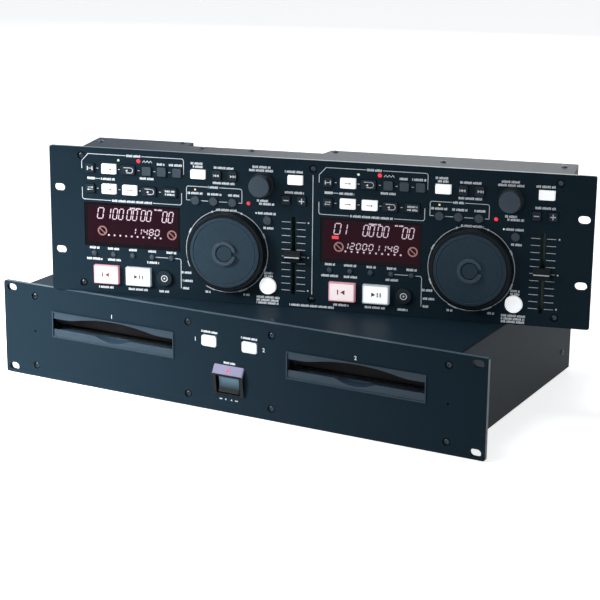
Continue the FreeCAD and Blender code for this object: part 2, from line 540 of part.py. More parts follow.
def controller_panel():
    panel = rack_panel(CONTROLLER_HEIGHT, CTRL_PANEL_THICK, CONTROLLER_SLOT_SPACING_Z)
    holes = [hole for _, deck_x in DECKS for hole in deck_holes(deck_x)]
    holes += [sunk_hole(x, z, CTRL_PANEL_THICK) for x in CTRL_SCREW_X for z in CTRL_SCREW_Z]
    return cut(panel, *holes)


def case_outline(inset):
    """Plan of the controller's case, with the bay for its sockets at the rear."""
    half, rear = CTRL_CASE_HALF - inset, CTRL_CASE_REAR - inset
    bay = BAY_WALL_Y - inset
    front = CTRL_PANEL_THICK - (1 if inset else 0)
    return [(-half, front), (half, front), (half, rear), (inset, rear), (BAY_RIGHT + inset, bay),
            (BAY_LEFT - inset, bay), (BAY_LEFT - inset, rear), (-half, rear)]


def plan_prism(points, z0, z1):
    corners = [Vector(x, y, z0) for x, y in points]
    return Part.Face(Part.makePolygon(corners + corners[:1])).extrude(Vector(0, 0, z1 - z0))


def controller_case():
    """Folded steel case behind the panel, open at the front."""
    outer = plan_prism(case_outline(0), CTRL_CASE_LOW, CTRL_CASE_HIGH)
    inner = plan_prism(case_outline(CTRL_SHEET), CTRL_CASE_LOW + CTRL_SHEET, CTRL_CASE_HIGH - CTRL_SHEET)
    shell = cut(outer, inner)
    y0, y1 = CTRL_PANEL_THICK, CTRL_PANEL_THICK + CTRL_SHEET
    tabs = [box(x - TAB_HALF, x + TAB_HALF, y0, y1, CTRL_CASE_LOW, TAB_LOW) for x in CTRL_SCREW_X]
    tabs += [box(x - TAB_HALF, x + TAB_HALF, y0, y1, TAB_HIGH, CTRL_CASE_HIGH) for x in CTRL_SCREW_X]
    holes = [shank_hole(x, z, y0 - 1, y1 + 1) for x in CTRL_SCREW_X for z in CTRL_SCREW_Z]
    holes += [block(x, BAY_SOCKET_Z, REMOTE_SIDE, REMOTE_SIDE, BAY_WALL_Y - 3, BAY_WALL_Y + 1)
              for x in BAY_SOCKET_X]
    return cut(join(shell, *tabs), *holes)


def controller_sockets():
    return [remote_socket(x, BAY_SOCKET_Z, BAY_WALL_Y) for x in BAY_SOCKET_X]


def controller_screws():
    return [panel_screw(x, z) for x in CTRL_SCREW_X for z in CTRL_SCREW_Z]


def display_window(deck_x):
    """Clear window in its cut-out, with a flange against the panel's back."""
    x = deck_x + WINDOW_X
    front = block(x, WINDOW_Z, WINDOW_W - 0.2, WINDOW_H - 0.2, 0.6, CTRL_PANEL_THICK)
    rim = block(x, WINDOW_Z, WINDOW_W + 4, WINDOW_H + 4, CTRL_PANEL_THICK, CTRL_PANEL_THICK + 1.2)
    return join(front, rim)


def controller_board():
    """Board behind the keys with posts, display modules, shaft bushes and fader bodies."""
    board = box(-214, 214, BOARD_Y, BOARD_Y + BOARD_THICK, 6, 123)
    shafts = [(deck_x + x, z) for _, deck_x in DECKS for x, z in SHAFT_PLACES]
    shaft_hole = 2 * SHAFT_R + 1.2
    board = cut(board, *[block(x, z, shaft_hole, shaft_hole, BOARD_Y - 1, BOARD_Y + 3) for x, z in shafts])
    solids = [board]
    for x, z in shafts:
        bush = block(x, z, 11, 11, CTRL_PANEL_THICK, BOARD_Y)
        solids.append(cut(bush, rod(x, z, SHAFT_R + RUNNING_FIT, 0, BOARD_Y + 1)))
    for _, deck_x in DECKS:
        solids.append(block(deck_x + WINDOW_X, WINDOW_Z, WINDOW_W - 4, WINDOW_H - 3,
                            CTRL_PANEL_THICK + 1.2, BOARD_Y))
        fader = block(deck_x + PITCH_X, PITCH_Z, 9, PITCH_SLOT_L + 14, CTRL_PANEL_THICK + 0.4, BOARD_Y)
        track = block(deck_x + PITCH_X, PITCH_Z, 2.8, PITCH_SLOT_L, 0, BOARD_Y - 1)
        solids.append(cut(fader, track))
        solids += [block(deck_x + x, z, 5, 5, CTRL_PANEL_THICK, BOARD_Y)
                   for x, z in ((-104.5, 28), (-8, 28), (73.5, 62), (104.2, 28))]
    return solids


# ---------------------------------------------------------------- controller: what moves

def rect_key(x, z, size, proud):
    """A key cap with a bevelled front edge, a stop flange behind the panel and a stem."""
    width, height = size
    bevel = 0.5
    cap = block(x, z, width, height, -proud, CTRL_PANEL_THICK + FLANGE_Y + FLANGE_THICK)
    front = [edge for edge in cap.Edges if edge.CenterOfMass.y < -proud + 0.01]
    cap = cap.makeChamfer(bevel, front)
    flange_start = CTRL_PANEL_THICK + FLANGE_Y
    rim = block(x, z, width + 2 * FLANGE, height + 2 * FLANGE, flange_start, flange_start + FLANGE_THICK)
    stem = block(x, z, 3, 3, flange_start + 1, KEY_END)
    return join(cap, rim, stem)


def round_key(x, z, radius, proud):
    """A round key on a square stop flange, with a stem."""
    flange_start = CTRL_PANEL_THICK + FLANGE_Y
    side = 2 * radius + 1.4
    rim = block(x, z, side, side, flange_start, flange_start + FLANGE_THICK)
    stem = block(x, z, 2.4, 2.4, flange_start + FLANGE_THICK, KEY_END)
    return join(rod(x, z, radius, -proud, flange_start), rim, stem)


def jog_disc(x):
    """Disc with a raised hub ring, notched at the right, on its shaft."""
    profile = [(0, -JOG_FACE), (HUB_DISH_R, -JOG_FACE), (HUB_DISH_R + 0.6, -HUB_FACE), (HUB_R, -HUB_FACE),
               (HUB_R, -JOG_FACE), (JOG_R - 1.0, -JOG_FACE), (JOG_R, -JOG_FACE + 1.0), (JOG_R, -1.0),
               (SHAFT_R, -1.0), (SHAFT_R, SHAFT_END), (0, SHAFT_END)]
    disc = turned(profile)
    notch = block(HUB_R - 1.6, 0, 3.4, 2.4, -HUB_FACE - 1, -JOG_FACE)
    disc = disc.cut(notch)
    disc.translate(Vector(x, 0, JOG_Z))
    return disc


def shuttle_ring(x):
    """Tapered ring round the disc, running on the panel's face."""
    profile = [(RING_INNER, -RUNNING_FIT), (RING_INNER, -RING_FACE), (RING_OUTER - 1.2, -RING_FACE),
               (RING_OUTER, -RUNNING_FIT)]
    return turned(profile, x, JOG_Z)


def track_knob(x):
    """Knob with a skirt, on its shaft."""
    profile = [(0, -KNOB_FACE), (KNOB_R - 0.8, -KNOB_FACE), (KNOB_R, -KNOB_FACE + 0.8), (KNOB_R, -2.6),
               (KNOB_SKIRT_R, -2.6), (KNOB_SKIRT_R, -0.5), (SHAFT_R, -0.5), (SHAFT_R, SHAFT_END), (0, SHAFT_END)]
    return turned(profile, x, KNOB_Z)


def pitch_slider(x):
    """Fader cap with a ridge across its middle, on a flat lever through the panel's slot."""
    cap = section([(-1.0, -5.2), (-4.0, -5.2), (-5.0, -1.8), (-6.4, -0.9), (-6.4, 0.9), (-5.0, 1.8),
                   (-4.0, 5.2), (-1.0, 5.2)], x - 7.15, x + 7.15)
    cap.translate(Vector(0, 0, PITCH_Z))
    return join(cap, block(x, PITCH_Z, 1.8, 7.0, -1.2, BOARD_Y - 2))


def moving_deck_parts(number, deck_x):
    """The sixteen moving nodes of one deck, as name: solids."""
    nodes = {}
    for node, x, z, size, proud in rect_keys(deck_x):
        nodes.setdefault(node, []).append(rect_key(x, z, size, proud))
    for node, x, z, radius, proud in round_keys(deck_x):
        nodes.setdefault(node, []).append(round_key(x, z, radius, proud))
    nodes["jog_disc"] = [jog_disc(deck_x + JOG_X)]
    nodes["shuttle_ring"] = [shuttle_ring(deck_x + JOG_X)]
    nodes["track_knob"] = [track_knob(deck_x + KNOB_X)]
    nodes["pitch_slider"] = [pitch_slider(deck_x + PITCH_X)]
    return {"%s_%d" % (node, number): solids for node, solids in nodes.items()}


# ---------------------------------------------------------------- build

def main():
    os.makedirs("parts", exist_ok=True)
    player = {
        "player_front_panel": [player_front_panel()],
        "player_chassis": [player_chassis()],
        "player_top_cover": [player_top_cover()],
        "player_screws": player_screws(),
        "player_feet": player_feet(),
        "power_switch_frame": [power_switch_frame()],
        "power_button": [power_button()],
        "player_main_board": player_main_board(),
        "power_supply": power_supply(),
        "player_rear_sockets": player_rear_sockets(),
        "mains_inlet": [mains_inlet()],
    }
    for number, x in DRIVES:
        player["slot_bezel_%d" % number] = [slot_bezel(x)]
        player["drive_unit_%d" % number] = drive_unit(x)
        player["loading_roller_%d" % number] = [loading_roller(x)]
        player["disc_spindle_%d" % number] = [disc_spindle(x)]
        player["eject_button_%d" % number] = [eject_button(math.copysign(EJECT_X, x))]
    controller = {
        "controller_panel": [controller_panel()],
        "controller_case": [controller_case()],
        "controller_board": controller_board(),
        "controller_sockets": controller_sockets(),
        "controller_screws": controller_screws(),
    }
    for number, deck_x in DECKS:
        controller["display_window_%d" % number] = [display_window(deck_x)]
        controller.update(moving_deck_parts(number, deck_x))
    for nodes, place in ((player, PLAYER_PLACE), (controller, CONTROLLER_PLACE)):
        for name, solids in nodes.items():
            save(name, solids, place)
    print("nodes", len(player) + len(controller))


main()
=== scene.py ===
# %% [markdown]
# # Dressing a twin disc player and its controller
#
# The object is two rack units. The player lies flat and takes discs through two slots. The controller
# stands on it, turned a little, and carries the jog wheels, keys, faders and displays of two decks.
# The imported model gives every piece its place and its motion. This script only gives the pieces their
# finish: bevelled copies of the solids, printed ink, lit keys, lamps, displays and materials.

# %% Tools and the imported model
import json
import math

import bmesh
import bpy
from mathutils import Matrix, Vector


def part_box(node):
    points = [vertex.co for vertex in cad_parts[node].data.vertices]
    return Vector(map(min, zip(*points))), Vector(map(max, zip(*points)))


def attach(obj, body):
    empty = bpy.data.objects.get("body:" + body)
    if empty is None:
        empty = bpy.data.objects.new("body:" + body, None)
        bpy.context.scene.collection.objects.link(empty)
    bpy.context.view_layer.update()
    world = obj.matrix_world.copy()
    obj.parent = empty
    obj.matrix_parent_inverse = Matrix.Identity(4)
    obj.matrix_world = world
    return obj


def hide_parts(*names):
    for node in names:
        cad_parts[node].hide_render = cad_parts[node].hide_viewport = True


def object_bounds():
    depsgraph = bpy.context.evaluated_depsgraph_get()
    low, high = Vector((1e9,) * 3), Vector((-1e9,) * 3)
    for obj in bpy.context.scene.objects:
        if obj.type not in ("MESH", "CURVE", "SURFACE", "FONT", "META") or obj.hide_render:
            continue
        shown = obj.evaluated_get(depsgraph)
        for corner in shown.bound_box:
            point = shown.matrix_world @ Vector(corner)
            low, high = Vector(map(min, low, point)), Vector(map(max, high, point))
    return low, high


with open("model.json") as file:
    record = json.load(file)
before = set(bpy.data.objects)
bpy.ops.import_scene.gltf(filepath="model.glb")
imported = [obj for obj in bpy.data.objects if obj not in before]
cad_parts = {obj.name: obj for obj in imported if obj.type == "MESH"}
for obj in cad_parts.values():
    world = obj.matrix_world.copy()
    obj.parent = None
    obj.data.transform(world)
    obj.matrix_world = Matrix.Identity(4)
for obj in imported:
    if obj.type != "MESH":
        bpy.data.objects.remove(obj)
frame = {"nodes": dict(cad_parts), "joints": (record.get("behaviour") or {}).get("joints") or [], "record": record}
cad_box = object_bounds()

# %% [markdown]
# ## Places
#
# Both panels are drawn flat, in millimetres: x from the panel's middle, y into the unit, z up from the
# lower edge. A matrix then sets the drawing down where the model has that panel. The player stands
# square in the frame. The controller's turn is read from the direction in which its keys travel, so a
# new turn in the model needs no change here.

# %% Where the two panels stand
MM = 0.001
record = frame["record"]
joints = {joint["name"]: joint for joint in frame["joints"]}
mounts = {mount["name"]: mount for mount in record["mounts"]}

player_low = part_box("player_front_panel")[0].z
PLAYER = Matrix.Translation((0, 0, player_low)) @ Matrix.Scale(MM, 4)

inward = joints["cue_button_1_press"]["axis"]
yaw = math.atan2(-inward[0], inward[1])
controller_x, controller_y, _ = mounts["controller_rack_slots"]["pos_m"]
controller_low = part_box("controller_panel")[0].z
CONTROLLER = (Matrix.Translation((controller_x, controller_y, controller_low))
              @ Matrix.Rotation(yaw, 4, "Z") @ Matrix.Scale(MM, 4))
DECK_PITCH = 216.4
DECKS = {1: -DECK_PITCH / 2, 2: DECK_PITCH / 2}
print("controller turned by %.1f degrees" % math.degrees(yaw))

# %% [markdown]
# ## Small tools for materials
#
# Colours are written as the hex values a designer would pick, and one function turns them into the linear numbers
# that the shader wants. One function adds a node with its settings and links. Every finish then starts from the
# same idea: a surface is never one flat colour, so a fine noise moves its colour and its roughness a little, and
# the same noise gives the bump that its making left behind.

# %% Colour and node helpers
def linear(hex_colour):
    """An sRGB hex value such as 2A333D as linear RGBA."""
    parts = [int(hex_colour[i:i + 2], 16) / 255 for i in (0, 2, 4)]
    return [c / 12.92 if c <= 0.04045 else ((c + 0.055) / 1.055) ** 2.4 for c in parts] + [1.0]


def add(tree, kind, inputs=(), **settings):
    """Adds one shader node: settings go on the node, inputs are plain values or sockets to link."""
    node = tree.nodes.new(kind)
    for name, value in settings.items():
        setattr(node, name, value)
    for name, value in dict(inputs).items():
        if isinstance(value, bpy.types.NodeSocket):
            tree.links.new(value, node.inputs[name])
        else:
            node.inputs[name].default_value = value
    return node


def new_material(name):
    """An empty finish: its material, its node tree and its shader, which is wired to the output."""
    material = bpy.data.materials.new(name)
    material.use_nodes = True
    tree = material.node_tree
    tree.nodes.clear()
    shader = add(tree, "ShaderNodeBsdfPrincipled")
    output = add(tree, "ShaderNodeOutputMaterial")
    tree.links.new(shader.outputs["BSDF"], output.inputs["Surface"])
    return material, tree, shader


def textured(name, dark, light, grain_mm, roughness, bump_um, **sockets):
    """A finish whose colour, gloss and height vary with one noise of a real grain size."""
    material, tree, shader = new_material(name)
    place = add(tree, "ShaderNodeTexCoord").outputs["Object"]
    grain = add(tree, "ShaderNodeTexNoise", {"Vector": place, "Scale": 1 / (grain_mm * MM), "Detail": 3.0,
                                             "Roughness": 0.6})
    colour = add(tree, "ShaderNodeMix", {"Factor": grain.outputs["Fac"], "A": linear(dark),
                                         "B": linear(light)}, data_type="RGBA")
    gloss = add(tree, "ShaderNodeMapRange", {"Value": grain.outputs["Fac"], "To Min": roughness - 0.06,
                                             "To Max": roughness + 0.06})
    bump = add(tree, "ShaderNodeBump", {"Height": grain.outputs["Fac"], "Strength": 1.0,
                                        "Distance": bump_um * 1e-6})
    tree.links.new(colour.outputs["Result"], shader.inputs["Base Color"])
    tree.links.new(gloss.outputs["Result"], shader.inputs["Roughness"])
    tree.links.new(bump.outputs["Normal"], shader.inputs["Normal"])
    for socket, value in sockets.items():
        shader.inputs[socket.replace("_", " ")].default_value = value
    return material


print("helpers ready, middle grey in linear light:", round(linear("808080")[0], 3))

# %% [markdown]
# ## Small tools for shapes
#
# A piece is drawn in panel millimetres in a bmesh, set down by its matrix, and given smooth shading
# with a weighted-normal modifier. That modifier keeps big flat faces flat and lets only the narrow
# bevels turn the light, which is what makes a moulded edge look moulded. What a drill or a mould's core
# leaves out is taken away with boolean modifiers, whose result is read back as a new shape.

# %% Blocks, turned shapes and rounds
def finished(verts, finish):
    """Gives the faces of new vertices a finish, by its number in the piece's list."""
    for face in {face for vert in verts for face in vert.link_faces}:
        face.material_index = finish
    return verts


def block(bm, x, y, z, finish=0):
    """A box between the two values of x, of y and of z. Returns its new vertices."""
    made = bmesh.ops.create_cube(bm, size=1)["verts"]
    bmesh.ops.scale(bm, vec=(x[1] - x[0], y[1] - y[0], z[1] - z[0]), verts=made)
    bmesh.ops.translate(bm, vec=((x[0] + x[1]) / 2, (y[0] + y[1]) / 2, (z[0] + z[1]) / 2), verts=made)
    return finished(made, finish)


def turn(bm, profile, x, z, steps=72, finish=0):
    """A closed shape turned about an axis along y, from (radius, y) points that start and end on it."""
    start = [bm.verts.new((x + radius, y, z)) for radius, y in profile]
    edges = [bm.edges.new(pair) for pair in zip(start, start[1:])]
    old = set(bm.faces)
    bmesh.ops.spin(bm, geom=start + edges, cent=(x, 0, z), axis=(0, 1, 0), angle=math.tau, steps=steps,
                   use_merge=True)
    made = {vert for face in bm.faces if face not in old for vert in face.verts}
    bmesh.ops.remove_doubles(bm, verts=list(finished(made, finish)), dist=1e-4)


def soften(bm, width, segments=3, sharper_than=30.0, only=None):
    """Rounds every edge that turns by more than an angle, or only those that a test picks."""
    edges = [edge for edge in bm.edges
             if len(edge.link_faces) == 2 and edge.calc_face_angle(0) > math.radians(sharper_than)
             and (only is None or only(edge))]
    bmesh.ops.bevel(bm, geom=edges, offset=width, offset_type="OFFSET", affect="EDGES", segments=segments,
                    profile=0.5, material=-1, clamp_overlap=True)


print("blocks, turned shapes and rounds can be drawn")

# %% Settling a piece
# Faces that meet at more than this angle keep a sharp edge in their shading.
SHARP = math.radians(38)


def settle(name, bm, place, body, finishes, stands_for=()):
    """Makes a piece of a bmesh: set down, shaded, finished and riding on its body."""
    bmesh.ops.recalc_face_normals(bm, faces=bm.faces)
    bm.transform(place)
    mesh = bpy.data.meshes.new(name)
    bm.to_mesh(mesh)
    bm.free()
    mesh.polygons.foreach_set("use_smooth", [True] * len(mesh.polygons))
    mesh.set_sharp_from_angle(angle=SHARP)
    for finish in finishes:
        mesh.materials.append(finish)
    piece = bpy.data.objects.new(name, mesh)
    bpy.context.scene.collection.objects.link(piece)
    piece.modifiers.new("even shading", "WEIGHTED_NORMAL").keep_sharp = True
    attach(piece, body)
    if stands_for:
        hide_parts(*stands_for)


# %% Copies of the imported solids, and carving
# Corners closer than the weld are one corner. Faces that turn by less than the angle are one face.
WELD_MM = 0.002
FLAT = math.radians(0.6)


def whole_faces(bm):
    """Joins the triangles that lie in one plane into one face."""
    bmesh.ops.dissolve_limit(bm, angle_limit=FLAT, verts=bm.verts, edges=bm.edges,
                             use_dissolve_boundaries=False, delimit=set())


def solid_copy(node, place):
    """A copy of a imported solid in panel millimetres, its flat faces whole again. The shading that came
    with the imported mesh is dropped, because it doesn't fit the rounds that are added."""
    copy = frame["nodes"][node].data.copy()
    for layer in ("custom_normal", "sharp_face", "sharp_edge"):
        if layer in copy.attributes:
            copy.attributes.remove(copy.attributes[layer])
    bm = bmesh.new()
    bm.from_mesh(copy)
    bpy.data.meshes.remove(copy)
    bmesh.ops.remove_doubles(bm, verts=bm.verts, dist=WELD_MM * MM)
    bm.transform(place.inverted())
    whole_faces(bm)
    return bm


def carved(bm, cutters):
    """A closed shape less closed cutters, each taken out by a boolean modifier, welded again."""
    scraps = []
    for shape in [bm] + cutters:
        mesh = bpy.data.meshes.new("scrap")
        shape.to_mesh(mesh)
        shape.free()
        scraps.append(bpy.data.objects.new("scrap", mesh))
        bpy.context.scene.collection.objects.link(scraps[-1])
    for cutter in scraps[1:]:
        cut = scraps[0].modifiers.new("cut", "BOOLEAN")
        cut.operation, cut.solver, cut.object = "DIFFERENCE", "EXACT", cutter
    result = bmesh.new()
    result.from_object(scraps[0], bpy.context.evaluated_depsgraph_get())
    for scrap in scraps:
        mesh = scrap.data
        bpy.data.objects.remove(scrap)
        bpy.data.meshes.remove(mesh)
    bmesh.ops.remove_doubles(result, verts=result.verts, dist=WELD_MM)
    return result


print("copies are welded at %.0f micrometres" % (WELD_MM * 1000))

# %% [markdown]
# ## Finishes of the housings
#
# Both fronts are aluminium panels with a baked paint, a dark blue-grey with a fine texture. The folded
# covers are steel with a blue-black powder coat, which is coarser and a little glossier. The bezels and
# key caps are moulded ABS, taken from a lightly spark-eroded mould, so they are smoother and even. The
# orange peel of powder coat has its real size, about 1.6 mm. The grain of the paint and of the mould is
# only 0.1 to 0.3 mm, and is drawn as 0.5 to 0.9 mm, so that it survives at the size of the render.

# %% Paint, powder coat and mouldings
# Baked paint on aluminium: matt, with a fine speckle that keeps the big panels from looking like card.
panel_paint = textured("baked_panel_paint", "17242C", "1F303B", 0.9, 0.52, 6, Specular_IOR_Level=0.04)
# Along a panel's narrow sides and rounds a paler paint stands in for the bright line that light draws along an
# edge: a painted highlight.
edge_highlight_paint = textured("painted_edge_highlight", "44565F", "5C6E7A", 0.9, 0.40, 4, Specular_IOR_Level=0.3)
# Powder coat on steel: blue-black, with the slight orange peel of powder that melted and flowed.
case_coat = textured("powder_coated_steel", "121D25", "1F2F3A", 1.6, 0.46, 10, Specular_IOR_Level=0.05)
# Moulded ABS, black: soft sheen, nearly even, for bezels and surrounds.
black_abs = textured("moulded_black_abs", "0C1013", "14191D", 0.7, 0.36, 3, Specular_IOR_Level=0.15)
# The slot bezels are moulded in a lighter blue-grey than the panel, glossier than its paint.
bezel_abs = textured("moulded_blue_grey_abs", "263744", "334653", 0.7, 0.32, 3, Specular_IOR_Level=0.25)
# Inside the slot the faces are painted near black and very matt: painted shade, so that the mouth reads as a dark
# hollow.
slot_shade = textured("painted_slot_shade", "090B0D", "101316", 0.7, 0.62, 3, Specular_IOR_Level=0.05)
# The sloping lip over the disc is a warm dark grey, a felt that wipes dust off.
slot_felt = textured("dust_felt", "1A1819", "242122", 0.5, 0.85, 20, Specular_IOR_Level=0.05)
# The hood over the power switch is the same plastic in a lavender grey.
grey_abs = textured("moulded_grey_abs", "767090", "8C85A4", 0.7, 0.42, 3, Specular_IOR_Level=0.3)
# Small keys that aren't lit: charcoal plastic, hardly lighter than the panel round them.
key_abs = textured("charcoal_key_abs", "1A232A", "26313A", 0.6, 0.40, 3, Specular_IOR_Level=0.15)
# Blank spare keys: a paler grey plastic.
blank_abs = textured("grey_key_abs", "39434B", "485560", 0.6, 0.42, 3, Specular_IOR_Level=0.25)
# Bare zinc-plated steel: the frames of the drives.
zinc = textured("zinc_plated_steel", "8C9096", "A4A8AD", 1.2, 0.34, 4, Metallic=1.0)
# Black oxide screws: dark metal that still glints.
black_screw = textured("black_oxide_screw", "2C3238", "444B52", 0.5, 0.30, 4, Metallic=1.0)
print("housing finishes:", [material.name for material in bpy.data.materials])

# %% [markdown]
# ## Panels, covers and bezels
#
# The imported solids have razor-sharp edges, and nothing real has. Each visible one is copied, its
# triangles are joined back into whole faces, and every sharp edge gets a small round: 0.35 mm on the
# player's panel, 0.3 mm on the thinner sheets and on mouldings, 0.5 mm on the case's folds. Those thin
# rounds catch the light as a fine bright line, and that line is most of what makes an edge look real.
# The modeller holds all of a piece's rounds back to what its shortest edge can take. The outlines of
# the controller's panel and case and of the carved slot bezels have very short edges, so their rounds
# come out far finer than these widths.

# %% Rounded copies of the big pieces
def dressed(node, place, body, finishes, width):
    """A rounded copy. With a second finish given, that one is on the outer narrow sides and rounds, as a painted
    highlight.
    """
    bm = solid_copy(node, place)
    xs = [vert.co.x for vert in bm.verts]
    zs = [vert.co.z for vert in bm.verts]
    soften(bm, width, 2)
    if len(finishes) > 1:
        for face in bm.faces:
            middle = face.calc_center_median()
            to_rim = min(middle.x - min(xs), max(xs) - middle.x, middle.z - min(zs), max(zs) - middle.z)
            face.material_index = to_rim < width
    settle(node + "_finished", bm, place, body, finishes, [node])


# Both fronts carry a painted highlight: a paler paint on their outer narrow sides and rounds.
dressed("player_front_panel", PLAYER, "player_unit", [panel_paint, edge_highlight_paint], 0.35)
dressed("player_top_cover", PLAYER, "player_unit", [case_coat], 0.3)
dressed("controller_panel", CONTROLLER, "controller_unit", [panel_paint, edge_highlight_paint], 0.3)
dressed("controller_case", CONTROLLER, "controller_unit", [case_coat], 0.5)

# %% [markdown]
# ## The slots' arched mouths
#
# The upper edge of each slot rises in one long S-curve over the disc's rim: a shoulder, a wide arc and a
# shoulder again. Behind it the ceiling slopes down over the whole width to the slit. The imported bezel
# has a plainer arch, so the S-curve and the slope are carved out of a copy of it. Each cutter is two
# outlines at two depths with a skin between them, and it stands about the middle of its bezel.
#
# The cutters are as wide as the mouth, so their sides lie in its side walls. The exact boolean doesn't
# resolve faces that share a plane, and it leaves out a side wall at each mouth's outer end, the end
# away from the panel's middle.

# %% Outlines of the mouths
# The S-curve: half its width, its rise and the radius of its shoulders.
S_HALF, S_RISE, S_SHOULDER = 52.0, 5.2, 60.0
STATIONS = 64


def s_rise(x):
    """How far the S-curve stands above its straight ends at x."""
    swing = 2 * math.atan(S_RISE / S_HALF)
    wide = S_HALF / math.sin(swing) - S_SHOULDER
    join = S_HALF - S_SHOULDER * math.sin(swing)
    if abs(x) >= S_HALF:
        return 0.0
    if abs(x) > join:
        return S_SHOULDER - math.sqrt(S_SHOULDER ** 2 - (S_HALF - abs(x)) ** 2)
    return S_RISE - wide + math.sqrt(wide ** 2 - x ** 2)


def arc_rise(x, half, rise):
    """The same for one circular arc from -half to half."""
    radius = (half ** 2 + rise ** 2) / (2 * rise)
    return rise - radius + math.sqrt(radius ** 2 - x ** 2)


def arched(half, low, spring, rise_at):
    """An outline with a flat foot and a curved top, as (x, z) points, the foot's corners first."""
    xs = [half - 2 * half * step / STATIONS for step in range(STATIONS + 1)]
    return [(-half, low), (half, low)] + [(x, spring + rise_at(x)) for x in xs]


print("the S-curve rises %.1f mm at the middle and %.1f mm at 40 mm from it" % (s_rise(0), s_rise(40)))

# %% Cutters for the mouths
# Of the mouth: half its width, the height of its straight top and of its lip, and the arch's rise.
MOUTH_HALF, MOUTH_TOP, MOUTH_LIP, MOUTH_RISE = 64.4, 58.8, 49.2, 5.5
# The same of the slit: half its width, its foot, the height of its top's ends, and its arch's rise.
SLIT_HALF, SLIT_FOOT, SLIT_SPRING, SLIT_RISE = 62.0, 49.6, 52.0, 0.5
# Depths of the skin's back and of the slope's two ends. The first cutter starts in front of the skin,
# and its foot lies below the mouth's top, so that it cuts through.
SKIN_BACK, SLOPE_FRONT, SLOPE_BACK = 1.4, 1.2, 8.6
CUT_FRONT, OVERCUT = -2, 0.6


def between(middle, *outlines_at):
    """A closed cutter about x = middle, between two outlines of as many points, each with its depth."""
    bm = bmesh.new()
    front, back = ([bm.verts.new((x, depth, z)) for x, z in outline] for depth, outline in outlines_at)
    bm.faces.new(front)
    bm.faces.new(back)
    for corner in range(len(front)):
        after = (corner + 1) % len(front)
        bm.faces.new([front[corner], front[after], back[after], back[corner]])
    bmesh.ops.recalc_face_normals(bm, faces=bm.faces)
    bmesh.ops.translate(bm, vec=(middle, 0, 0), verts=bm.verts)
    return bm


def mouth_cutters(middle):
    """The S-curve through the bezel's skin, and the slope behind it."""
    s_curve = arched(MOUTH_HALF, MOUTH_TOP - OVERCUT, MOUTH_TOP, s_rise)
    wide_end = arched(MOUTH_HALF, MOUTH_LIP, MOUTH_TOP, lambda x: arc_rise(x, MOUTH_HALF, MOUTH_RISE))
    slit_end = arched(SLIT_HALF, SLIT_FOOT, SLIT_SPRING, lambda x: arc_rise(x, SLIT_HALF, SLIT_RISE))
    return [between(middle, (CUT_FRONT, s_curve), (SKIN_BACK, s_curve)),
            between(middle, (SLOPE_FRONT, wide_end), (SLOPE_BACK, slit_end))]


print("the mouth narrows from %.1f to %.1f mm" % (2 * MOUTH_HALF, 2 * SLIT_HALF))

# %% Bezels with their mouths carved
# A bezel's face and finger scoop are blue-grey. Behind its skin the mouth is painted near black, as painted shade
# of the hollow, and its ceiling slopes down as the dust felt.
BLUE_GREY, HOLLOW_SHADE, FELT = 0, 1, 2
SCOOP_TOP, SKIN_MIDDLE, SLIT_DEPTH = 49.1, 0.75, 8.5
LEANS = 0.3


def bezel_finish(face):
    """Which of the bezel's three finishes a face has, by its depth and the way it leans."""
    _, depth, height = face.calc_center_median()
    ceiling = face.normal.z < -LEANS and face.normal.y < -LEANS
    if SKIN_BACK < depth < SLIT_DEPTH and ceiling:
        return FELT
    if depth > SLIT_DEPTH or (depth > SKIN_MIDDLE and height > SCOOP_TOP):
        return HOLLOW_SHADE
    return BLUE_GREY


for number in (1, 2):
    node = "slot_bezel_%d" % number
    low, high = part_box(node)
    bm = carved(solid_copy(node, PLAYER), mouth_cutters((low.x + high.x) / 2 / MM))
    whole_faces(bm)
    soften(bm, 0.3, 3)
    bm.normal_update()
    for face in bm.faces:
        face.material_index = bezel_finish(face)
    settle(node + "_finished", bm, PLAYER, "player_unit", [bezel_abs, slot_shade, slot_felt],
           [node])
print("both bezels carved")

# %% The hood over the power switch
# The surround is black. The hood's lavender grey is given only to its slope and its left round, the faces turned
# up and to the left towards the lamps, as painted light; its other faces, the right round among them, are black as
# painted shade.
HOOD_CORNER, HOOD_HIGH, HOOD_LOW = 2.4, 8.0, 35.5
NEAR = 0.2
bm = solid_copy("power_switch_frame", PLAYER)
hood_top = max(vert.co.z for vert in bm.verts)
hood_side = max(vert.co.x for vert in bm.verts)


def hood_corner(edge):
    """Whether an edge is one of the two that run back from the hood's upper corners."""
    start, end = (vert.co for vert in edge.verts)
    outside = all(abs(point.x) > hood_side - NEAR and point.z > hood_top - HOOD_HIGH
                  for point in (start, end))
    return (outside and abs(start.y - end.y) > 1 and start.x * end.x > 0
            and max(start.z, end.z) > hood_top - NEAR)


def hood_grey(face):
    """Whether a face is on the hood's slope or on its left round, the faces that are painted lit."""
    middle = face.calc_center_median()
    slope = face.normal.z > 0.2 and face.normal.y < -0.2 and middle.z > HOOD_LOW
    left_round = face.normal.x < -0.35 and face.normal.y < -0.35 and middle.x < 0
    return slope or left_round


soften(bm, HOOD_CORNER, 6, only=hood_corner)
soften(bm, 0.4, 3)
bm.normal_update()
for face in bm.faces:
    face.material_index = 0 if hood_grey(face) else 1
settle("power_switch_hood", bm, PLAYER, "player_unit", [grey_abs, black_abs],
       ["power_switch_frame"])
print("hood dressed, its top at %.1f mm" % hood_top)

# %% [markdown]
# ## Lit keys, ink and lamps
#
# The white keys are translucent plastic with a lamp behind them. Seen in a bright room they are simply
# the whitest things on the unit, so they get a white body and a weak even glow, with the faint mottle
# of light that comes through plastic. The printing is screen ink: thin, matt, almost white.

